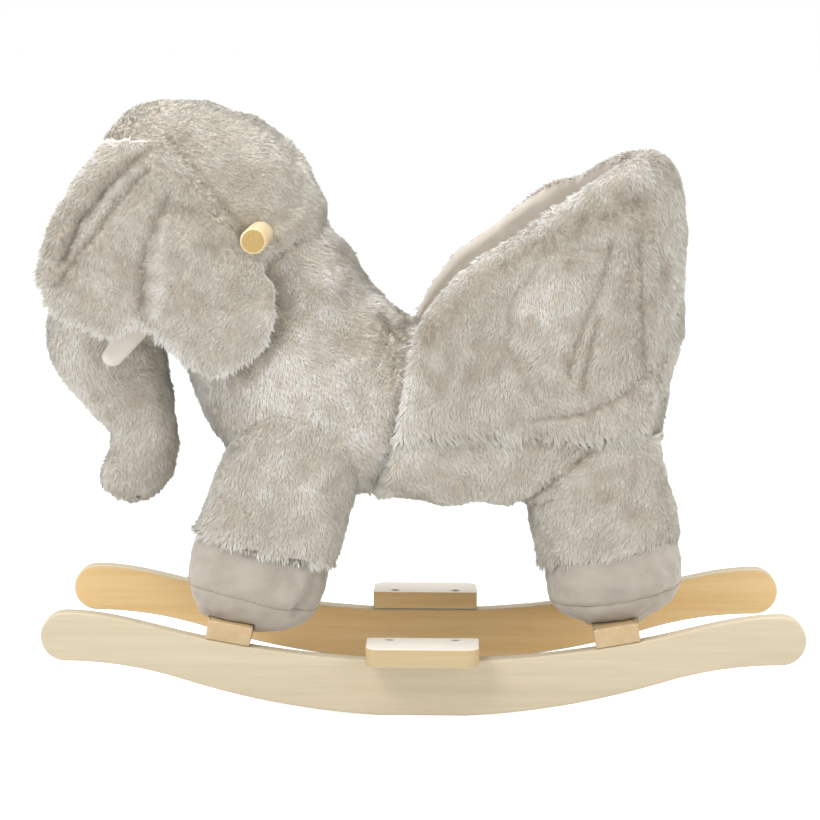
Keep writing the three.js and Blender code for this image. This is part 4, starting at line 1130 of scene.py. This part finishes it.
def lathe(name, profile, place, material, around=32):
    # a profile of [radius, height] points, turned about its axis; it starts and ends on the axis
    profile = np.array(profile, float)
    turn = 2 * np.pi * np.arange(around) / around
    layers = [np.stack([r * np.cos(turn), r * np.sin(turn), np.full(around, h)], 1) for r, h in profile[1:-1]]
    ends = [(0, 0, profile[0][1]), (0, 0, profile[-1][1])]
    points = place(np.vstack([*layers, ends]))
    return meshObject(name, points, tubeFaces(len(layers), around), [material])


def buildWood():
    outline = rockerOutline()
    middleY = (rocker["outerWidth"] - rocker["thickness"]) / 2
    inner = rocker["outerWidth"] / 2 - rocker["thickness"]
    outer = rocker["outerWidth"] / 2 + footrest["overhang"]
    level = rocker["waist"] + seamGap + footrest["thickness"] / 2
    corner = footrest["corner"]
    plan = rectangle(footrest["length"] / 2, (outer - inner) / 2, (corner, corner, 2, 2))
    for side, sign in sides.items():
        upright = lambda p: np.stack([p[:, 0], sign * middleY + p[:, 2], p[:, 1]], 1)
        sawn = board(f"rocker_{side}_board", outline, rocker, upright, beechPale)
        # the inner face gets the golden copy: painted shade, warm as the light under the seat
        extraFace(sawn, beechInnerFacePaintedLight, lambda normals: normals[:, 1] * sign < -0.9)
        settle(sawn, "pale_wood", f"rocker_{side}")

        onRocker = lambda p: np.stack([p[:, 0], sign * (p[:, 1] + (inner + outer) / 2), p[:, 2] + level], 1)
        # the board's flat faces are painted near white: painted light on the tops
        rest = board(f"footrest_{side}_board", plan, footrest, onRocker, footrestTopPaintedLight)
        extraFace(rest, sawnEdge, lambda normals: np.abs(normals[:, 2]) < 0.6)
        # the inner edge gets the brighter golden copy: painted light against the seat's shade
        extraFace(rest, beechInnerFacePaintedLight, lambda normals: normals[:, 1] * sign < -0.8)
        settle(rest, "pale_wood", f"footrest_{side}")
        sinks = []
        for i, way in enumerate((-1, 1)):
            top = (way * footrest["screwSpacing"] / 2, sign * middleY, level + footrest["thickness"] / 2)
            sinks.append(lathe("cutter", sinkHole, lambda p: p + top, beechPale))
            screwHead(f"footrest_screw_{side}_{i + 1}", lambda p: p + top)
        carve(rest, *sinks)
        sharpen(rest)
        discard(*sinks)
    for end in ("front", "rear"):
        plan = rectangle(bar["width"] / 2, rocker["outerWidth"] / 2, (1, 1, 1, 1), 3)
        onRockers = barPlace(end)
        rail = board(f"crossbar_{end}_rail", plan, bar, onRockers, barBeech)
        settle(rail, "pale_wood", f"crossbar_{end}")
        for side, sign in sides.items():
            place = lambda p: onRockers(p + (0, sign * middleY, bar["thickness"] / 2))
            screwHead(f"crossbar_screw_{end}_{side}", place)
    print("wood ready")


def screwHead(node, place):
    # a countersunk head with a cross recess, sunk a little below the wood
    made = lathe(f"{node}_turned", screw, place, zincPlate, 24)
    length, width = recess["length"], recess["width"]
    inRecess = lambda p: place(p + (0, 0, recess["middle"]))
    sizes = (length, width, recess["height"]), (width, length, recess["height"])
    arms = [boxCutter(inRecess, size, [zincPlate]) for size in sizes]
    carve(made, *arms)
    discard(*arms)
    sharpen(made)
    settle(made, "steel", node)


handle = dict(x=-155, z=450, radius=12, half=165, chamfer=2.5)


def buildHandle():
    # the dowel, with a rounded edge at each end and the end grain a deeper yellow
    turns = np.linspace(0, np.pi / 2, 6)
    radius, half, edge = handle["radius"], handle["half"], handle["chamfer"]
    near = [(radius - edge + edge * math.sin(t), edge * (1 - math.cos(t)) - half) for t in turns]
    profile = [(0, -half), (4, -half), *near, *[(r, -h) for r, h in near[::-1]], (4, half), (0, half)]
    place = lambda p: np.stack([handle["x"] + p[:, 0], p[:, 2], handle["z"] + p[:, 1]], 1)
    dowel = lathe("handle_turned", profile, place, dowelBirch, 56)
    extraFace(dowel, endGrain, lambda normals: np.abs(normals[:, 1]) > 0.95)
    sharpen(dowel, 40)
    settle(dowel, "dowel_wood", "handle_dowel")


# Seat: a wall that bends round the deck, in three pieces with seams at the rear corners

wall = dict(
    halfWidth=118,
    wingThickness=27,
    backThickness=50,
    backRear=251,
    top=528,
    cornerRadius=76,
    bulge=5,
    innerBulge=2.5,
    dents=(1.2, 0.4, 0.35),  # mm, broad and fine, and the share of them on the lined side
    creaseFrom=70,  # mm from the middle: the back has no creases
    leanReach=0.35,  # the share of the run over which the wall follows the slope of the chest
    backTaper=26,  # how far the back draws in down to the deck
    crownReach=46,  # the back's top leans in over this height
    crownLean=13,
    furFade=0.12,
    # how far over the rim the fur goes: 1 is the outer shoulder, 2 the inner one
    furEnd=[(0, 1.3), (0.3, 1.5), (0.72, 1.6), (1, 1.8), (2, 1.95)],
    seamX=(-41.6, 184, 33.6, 177.8),  # a point of the seam with the chest, and its run and rise
    wingRim=[(0, 0.38), (0.1, 0.47), (0.3, 0.585), (0.5, 0.69), (0.7, 0.79), (0.85, 0.855), (1, 0.9)],
    cornerRim=[(0.25, 0.96), (0.5, 0.995), (0.75, 1.003), (1, 1)],
    sag=[(0.05, 0), (0.3, 6), (0.5, 8), (0.7, 11), (0.85, 9), (1, 1), (1.1, 0)],  # mm, of the left wing's rim
)


def wallSections(sign, parts):
    # Sections of the wall along its run: middle x and y, the way out, thickness, rim height, lean.
    # The run is 0 at the chest, 1 where the corner starts and 2 at the middle of the back.
    x0, z0, run, rise = wall["seamX"]
    front = x0 + seamGap + run / rise * (deckHeight + seamGap - z0)
    middleY = wall["halfWidth"] - wall["wingThickness"] / 2
    corner = wall["cornerRadius"]
    cornerX = wall["backRear"] - wall["backThickness"] / 2 - corner
    rims = smoothRows(wall["wingRim"] + [(1 + t, rim) for t, rim in wall["cornerRim"]], 400)
    rows = []
    for t in parts:
        turn = max(0, t - 1)
        out = math.sin(turn * np.pi / 2), sign * math.cos(turn * np.pi / 2)
        if t <= 1:
            x, y = front + t * (cornerX - front), sign * middleY
        else:
            x, y = cornerX + corner * out[0], sign * (middleY - corner) + corner * out[1]
        thick = wall["wingThickness"] + (wall["backThickness"] - wall["wingThickness"]) * turn
        sunk = tableAt(wall["sag"], t) if sign < 0 else 0
        top = deckHeight + tableAt(rims, t) * (wall["top"] - deckHeight) - sunk
        lean = run / rise * max(0, 1 - t / wall["leanReach"]) ** 1.5
        rows.append((x, y, *out, thick, top, lean, t))
    return rows


def wallPiece(name, sections):
    # Across the wall: up the outer face with its bulge, over the round rim and down the lined face.
    # The outer face lies under its coat; the rim and inner face are the lining, at full size.
    rise, over, fall = np.linspace(0, 1, 40), np.linspace(0, 1, 22)[1:-1], np.linspace(1, 0, 30)
    stage = np.concatenate([rise, 1 + over, 3 - fall])
    foot = deckHeight + seamGap
    layers, covered = [], []
    for x, y, outX, outY, thick, top, lean, t in sections:
        furEnd = tableAt(wall["furEnd"], t)
        under = furInset * np.clip((furEnd - stage) / wall["furFade"], 0, 1)
        underRise, underRim, _ = np.split(under, [len(rise), len(rise) + len(over)])
        half = thick / 2
        shoulder = top - half
        turned = max(0, t - 1)
        taper = wall["backTaper"] * turned**2 * np.clip(1 - rise / 0.5, 0, 1) ** 1.3
        out = [
            half + wall["bulge"] * (1 - 0.8 * turned) * np.sin(np.pi * rise) - taper - underRise,
            (half - underRim) * np.cos(np.pi * over),
            -half - wall["innerBulge"] * np.sin(np.pi * fall),
        ]
        z = [
            foot + rise * (shoulder - foot),
            shoulder + (half - underRim) * np.sin(np.pi * over),
            foot + fall * (shoulder - foot),
        ]
        out, z = np.concatenate(out), np.concatenate(z)
        out -= wall["crownLean"] * turned * np.clip((z - top) / wall["crownReach"] + 1, 0, 1) ** 1.2
        layers.append(np.stack([x + out * outX + lean * (z - foot), y + out * outY, z], 1))
        covered.append(stage < furEnd)
    points = np.vstack([*layers, layers[0].mean(0), layers[-1].mean(0)])
    faces = tubeFaces(len(layers), len(stage))
    lined = ~np.array(covered)
    which = np.ones(len(faces))
    sideFaces = lined[:-1].size
    which[:sideFaces] = lined[:-1].ravel()
    broad, fine, linedShare = wall["dents"]
    lift = broad * waves(points, dents["length"], 5) + fine * waves(points, dents["fineLength"], 6)
    creased = np.abs(points[:, 1]) > wall["creaseFrom"]
    for groove in seatCreases:
        lift -= groove["depth"] * nearLine(points, groove["line"], groove["width"]) * creased
    lift *= np.where(np.append(lined.ravel(), [True, True]), linedShare, 1)
    points = points + outwardNormals(points, faces[:sideFaces]) * lift[:, None]
    return meshObject(name, points, faces, groundAndLining, which)


# the rim's painted light: how much paler the rolled rim and its top are tinted, and from what height
rim = dict(band=10, tuftBand=6, tuftLength=9, upright=0.6, paintedLight=0.36, paintedLightTop=0.18, paintedLightFrom=480, paintedLightOver=30)


def rimCoat(root, way, lean, length, tint):
    # the rolled rim is painted paler, painted light that is strongest at its top, and here and there along it
    # a tuft stands up
    rolled = nearLine(root, rimEdge, rim["band"])
    near = nearLine(root, rimTop, rim["tuftBand"]) * (waves(root, rim["tuftLength"], 17) - 0.1).clip(0, 1)
    way = unit(way + rim["upright"] * near[:, None] * (0, 0, 1))
    high = ((root[:, 2] - rim["paintedLightFrom"]) / rim["paintedLightOver"]).clip(0, 1)
    tint = tint + rim["paintedLight"] * rolled + rim["paintedLightTop"] * high
    return way, lean - 5 * near, length * (1 + 0.12 * near), tint


# the cushion's cover: a little more cloth than its seam, blown up by the filling
cover = dict(voxel=6, pressure=4, slack=0.05, frames=20, cap=6, seam=0.5, band=3, underside=1)
cushion = dict(
    squareness=3.5,
    around=128,
    waist=0.03,  # how far the sides draw in between the corners
    piping=0.012,
    pipingReach=0.05,
    # height and half width, as shares
    rows=[(0, 0.93), (0.22, 0.99), (0.48, 1), (0.72, 0.97), (0.88, 0.86), (0.97, 0.6), (1, 0.25)],
)


def puff(pad, bottom, top):
    # Cloth with pressure swells the cover between its seam, which is pinned, and its flat underside.
    remesh = pad.modifiers.new("remesh", "REMESH")
    remesh.mode = "VOXEL"
    remesh.voxel_size = cover["voxel"] * mm
    makeMesh(pad)
    start = pointsOf(pad.data)
    fromSeam = np.abs(start[:, 2] - bottom - cover["seam"] * (top - bottom))
    held = np.flatnonzero((fromSeam < cover["band"] / 2) | (start[:, 2] < bottom + cover["underside"]))
    pad.vertex_groups.new(name="seam").add(held.tolist(), 1.0, "REPLACE")
    cloth = pad.modifiers.new("cloth", "CLOTH")
    cloth.settings.use_pressure = True
    cloth.settings.uniform_pressure_force = cover["pressure"]
    cloth.settings.vertex_group_mass = "seam"
    cloth.settings.shrink_min = -cover["slack"]
    cloth.settings.effector_weights.gravity = 0
    for frame in range(1, cover["frames"] + 1):
        scene.frame_set(frame)
    move = pointsOf(pad.evaluated_get(bpy.context.evaluated_depsgraph_get()).to_mesh()) - start
    far = np.linalg.norm(move, axis=1, keepdims=True)
    move *= np.minimum(1, cover["cap"] / np.maximum(far, 1e-6))
    pad.modifiers.clear()
    pad.vertex_groups.clear()
    pad.data.vertices.foreach_set("co", ((start + move) * mm).ravel())
    scene.frame_set(1)
    smooth = pad.modifiers.new("smooth", "SUBSURF")
    smooth.levels = smooth.render_levels = 1
    pad.data.shade_smooth()
    print("cushion puffed", len(start), "points, at most", round(far.max(), 1), "mm")


def buildCushion():
    # a crowned rounded square whose sides draw in between its corners
    low, high = (np.array(corner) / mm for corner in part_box("seat_cushion"))
    size, middle = (high - low) / 2, (high + low) / 2
    turn, along, across = superellipse(cushion["around"], cushion["squareness"])
    layers = []
    for level, wide in smoothRows(cushion["rows"], 40):
        piping = 1 + cushion["piping"] * math.exp(-(((level - cover["seam"]) / cushion["pipingReach"]) ** 2))
        wide = wide * (1 - cushion["waist"] * np.cos(2 * turn) ** 2) * piping
        z = np.full(len(turn), low[2] + level * 2 * size[2])
        x, y = middle[0] + size[0] * wide * along, middle[1] + size[1] * wide * across
        layers.append(np.stack([x, y, z], 1))
    points = np.vstack([*layers, (middle[0], middle[1], low[2]), (middle[0], middle[1], high[2])])
    pad = meshObject("seat_cushion_pad", points, tubeFaces(len(layers), len(turn)), [seatLining])
    puff(pad, low[2], high[2])
    settle(pad, "lining", "seat_cushion", fill=0.8)


def buildSeat():
    seamTurn = 1.5
    chestTool = cutter(chest, seamGap)
    for number, (side, sign) in enumerate(sides.items()):
        wing = wallPiece(f"seat_wing_{side}_cloth", wallSections(sign, np.linspace(0, seamTurn, 110)))
        carve(wing, chestTool)
        settle(wing, "fur", f"seat_wing_{side}", fill=0.75)
        pile(
            f"seat_wing_{side}_pile",
            wing,
            71 + number,
            creases=[*seatCreases, rimRuffle, rimBand],
            patches=wingPatches,
            fringe=deckJoint,
            edits=[overSeam(seatSeam, 7, (-1.2, 0, 0), 0.15), overSeam(backSeam, 6, (1, 0, 0)), rimCoat],
            lay=(0.1, 0, -1),
        )
    near, far = (wallSections(sign, np.linspace(seamTurn + 0.006, 2, 40)) for sign in sides.values())
    rear = wallPiece("seat_back_cloth", near + far[-2::-1])
    settle(rear, "fur", "seat_back", fill=0.8)
    pile("seat_back_pile", rear, 81, creases=seatCreases[:2], fringe=deckJoint, lay=(0.1, 0, -1))
    discard(chestTool)
    buildCushion()
    print("seat ready")


# Ears, tusks and eyes

# the ear's folds: line, width, depth, and a ruffle that also paints the pile darker there (painted shade), or
# paler below zero (painted sheen)
earCreases = [
    ([(-249, 533), (-275, 515), (-294, 497), (-319, 462), (-335, 430)], 5, 5.8, 0.9),
    ([(-256, 512), (-279, 487), (-303, 455), (-321, 435), (-342, 404)], 3.5, 4, 0.9),
    ([(-262, 518), (-287, 491), (-312, 458), (-328, 430)], 4, -1.5, -0.6),
    ([(-284, 517), (-306, 494), (-326, 466), (-340, 439), (-346, 416)], 8, -5, 0.55),
    ([(-237, 487), (-249, 467), (-256, 445), (-262, 420), (-263, 374)], 5, 5.5, 0.5),
    ([(-242, 462), (-244, 440), (-243, 409), (-249, 382)], 8, -3, -1),
    ([(-228, 478), (-212, 471)], 5, 1.5, 0.9),
    ([(-222, 440), (-222, 400)], 14, -3, 0),
]
ear = dict(
    place=(-358, 319, 218, 221),
    around=240,
    rings=34,
    seamHalf=91,
    thickness=13,
    flare=20,
    flareReach=35,
    curl=8,
    hemInset=2.5,
    hemRings=3,
    seamCoat=16,
    topEdge=538,  # heights near which the edge turns its cream side out
    lowEdge=372,
    seam=[(0.52, 0.98), (0.88, 0.545)],
    centre=(0.52, 0.5),
    outline=[
        (0.275, 1), (0.395, 1.005), (0.515, 0.99), (0.61, 0.885), (0.7, 0.775), (0.79, 0.665),
        (0.87, 0.56), (0.945, 0.48), (0.99, 0.4), (1.01, 0.31), (1.005, 0.21), (0.965, 0.11),
        (0.87, 0.04), (0.79, -0.005), (0.71, 0), (0.625, 0.045), (0.555, 0.09), (0.505, 0.14),
        (0.45, 0.195), (0.385, 0.19), (0.285, 0.15), (0.165, 0.2), (0.065, 0.245), (0, 0.32),
        (-0.03, 0.42), (-0.01, 0.53), (0.035, 0.66), (0.1, 0.765), (0.175, 0.86), (0.225, 0.94),
    ],
    creases=[dict(zip(("line", "width", "depth", "ruffle"), crease)) for crease in earCreases],
    coat=dict(
        lay=(-0.25, 0, -1),
        density=0.78,
        length=4.8,
        width=1,
        leanSpread=17,
        tuft=3.6,
        pull=0.56,
        stray=0.6,
        tint=0.52,
        patches=[(-322, 375, 26, 16, 0.4), (-200, 420, 14, 22, -0.4)],
    ),
)


def earMiddle(x, z):
    # how far out the ear's middle surface lies: it leaves the seam, levels off and turns in at the front
    (ax, az), (bx, bz) = placed(ear, ear["seam"])
    off = np.maximum(0, (x - ax) * (bz - az) - (z - az) * (bx - ax)) / math.hypot(bx - ax, bz - az)
    rise = ear["flare"] * (1 - np.exp(-off / ear["flareReach"]))
    front = ear["place"][0]
    ((centreX, _),) = placed(ear, [ear["centre"]])
    forward = np.maximum(0, (centreX - x) / (centreX - front))
    inFlap = 1 - np.exp(-off / 13)
    points = np.column_stack([x, z, z])
    points[:, 0] += 1.2 * waves(points, 26, 21)  # folds in cloth never run quite straight
    dip = 0
    for crease in ear["creases"]:
        dip = dip + crease["depth"] * nearLine(points, crease["line"], crease["width"])
    return ear["seamHalf"] + rise - ear["curl"] * forward**2 - dip * inFlap


def buildEar(side, sign, headTool):
    around, rings = ear["around"], ear["rings"]
    x, z, length, height = ear["place"]
    edge = smoothRows(ear["outline"], around, closed=True) * (length, height) + (x, z)
    centre = np.array(placed(ear, [ear["centre"]])[0])
    edge -= ear["hemInset"] * unit(edge - centre)
    edge += 0.8 * waves(np.column_stack([edge, edge[:, 0]]), 14, 3)[:, None]
    # rings from the outer face's centre to the edge and back to the inner face's centre
    layers = []
    shares = np.sin(np.linspace(0, np.pi / 2, rings + 1))[1:]
    for share, face in [(s, 1) for s in shares[:-1]] + [(1, 0)] + [(s, -1) for s in shares[-2::-1]]:
        p = centre + share * (edge - centre)
        half = ear["thickness"] / 2 * math.sqrt(1 - share**8)
        layers.append(np.stack([p[:, 0], sign * (earMiddle(p[:, 0], p[:, 1]) + face * half), p[:, 1]], 1))
    middle = earMiddle(centre[:1], centre[1:])[0]
    ends = [(centre[0], sign * (middle + face * ear["thickness"] / 2), centre[1]) for face in (1, -1)]
    points = np.vstack([*layers, *ends])
    points[:, 1] += sign * 1.2 * waves(points, 40, 8)
    faces = tubeFaces(len(layers), around)
    # the hem and the inner side are cream, but along the seam the coat runs right up to the head
    seam = placed(ear, ear["seam"])
    hem = (rings - ear["hemRings"]) * around
    bySeam = lineDistance(points, seam) < ear["seamCoat"]
    coated = [max(face) < hem or face[0] == len(layers) * around or bySeam[face[0]] for face in faces]
    made = meshObject(f"ear_{side}_cloth", points, faces, [furGroundRootShade, creamPlush], np.where(coated, 0, 1))
    carve(made, headTool)
    settle(made, "fur", f"ear_{side}", fill=0.3, body=f"{side}_ear")

    def edgeCoat(root, way, lean, length, tint):
        # near the edge the pile turns cream and points out over the hem
        flat = root[:, [0, 2]]
        near = np.full(len(root), np.inf)
        for spot in edge[::2]:
            near = np.minimum(near, ((flat - spot) ** 2).sum(1))
        close = np.exp(-np.sqrt(near) / 7) * (1 - nearLine(root, seam, ear["seamCoat"]))
        out = unit(flat - centre)
        out = np.column_stack([out[:, 0], np.zeros(len(out)), out[:, 1]])
        way = unit(way + 2.2 * close[:, None] ** 2 * out)
        # the top and the lower edges turn their cream side out a little
        fromTop, fromLow = (flat[:, 1] - ear["topEdge"]) / 14, np.maximum(0, flat[:, 1] - ear["lowEdge"]) / 20
        turned = np.maximum(np.exp(-(fromTop**2)), np.exp(-(fromLow**2)))
        tint = tint + (0.4 + 0.3 * turned) * close
        return way, lean + 8 * turned * close, length * (1 + 0.35 * close), tint

    asked = dict(ear["coat"], seed=91 + (side == "right"), creases=ear["creases"], edits=[edgeCoat])
    pile(f"ear_{side}_pile", made, body=f"{side}_ear", **asked)


tusk = dict(rootX=-259.5, rootZ=383, half=64, slope=0.98, length=72, root=17, tip=9.8, bend=0.0006, seam=0.06)
eye = dict(x=-300, z=470, far=200, rim=2.2, radius=7, dome=4.5)
eyeStem = [(0, -14), (2, -14), (2, -1.2), (6.4, -1)]  # radius and height


def buildFace():
    headTool, trunkTool = cutter(head, furInset), cutter(trunk, furInset)
    turns = np.linspace(0, np.pi / 2, 9)
    # a tusk: a blunt cone of stuffed cloth, with a seam along its lower side
    tip, stem = tusk["tip"], np.linspace(0, tusk["length"] - tusk["tip"], 14)
    cone = [(0, 0)] + [(tusk["root"] + (tip - tusk["root"]) * s / stem[-1], s) for s in stem]
    cone += [(tip * math.cos(t), stem[-1] + tip * math.sin(t)) for t in turns[1:-1]] + [(0, tusk["length"])]
    dome = [(eye["radius"] * math.cos(t), eye["dome"] * math.sin(t)) for t in turns[:-1]] + [(0, eye["dome"])]
    c, s = math.cos(tusk["slope"]), math.sin(tusk["slope"])
    for side, sign in sides.items():
        buildEar(side, sign, headTool)

        def onHead(p):
            seam = 1 - tusk["seam"] * np.exp(-((np.arctan2(p[:, 1], p[:, 0]) / 0.12) ** 2))
            x, y = p[:, 0] * seam + tusk["bend"] * p[:, 2] ** 2, p[:, 1] * seam
            forward, up = tusk["rootX"] - c * p[:, 2] - s * x, tusk["rootZ"] - s * p[:, 2] + c * x
            return np.stack([forward, sign * tusk["half"] + y, up], 1)

        horn = lathe(f"tusk_{side}_cloth", cone, onHead, tuskCotton, 48)
        carve(horn, headTool, trunkTool)
        settle(horn, "tusk_cloth", f"tusk_{side}", fill=0.9)

        # the eye sits square on the head's cloth, its rim down in the pile
        start = (eye["x"] * mm, sign * eye["far"] * mm, eye["z"] * mm)
        _, spot, facing, _ = bpy.data.objects["head_cloth"].ray_cast(start, (0, -sign, 0))
        spot, facing = np.array(spot) / mm, np.array(facing)
        right = unit(np.cross((0, 0, 1), facing))
        turned = np.stack([right, np.cross(facing, right), facing])
        place = lambda p: spot + (p + (0, 0, eye["rim"])) @ turned
        bead = lathe(f"eye_{side}_dome", eyeStem + dome, place, eyeAcrylic, 40)
        settle(bead, "eye_plastic", f"eye_{side}")
    discard(headTool, trunkTool)
    print("face ready")


def dressFrame():
    # the inner frame keeps its CAD solids: plywood boards and posts, zinc-plated bolts and inserts
    finishes = {"board": birchPly, "post": birchPly, "bolt": zincPlate, "insert": zincPlate}
    for name, node in frame["nodes"].items():
        inner = [finish for word, finish in finishes.items() if word in name]
        if inner:
            node.data.materials.clear()
            node.data.materials.append(inner[0])


buildWood()
buildHandle()
buildBody()
buildSeat()
buildFace()
dressFrame()
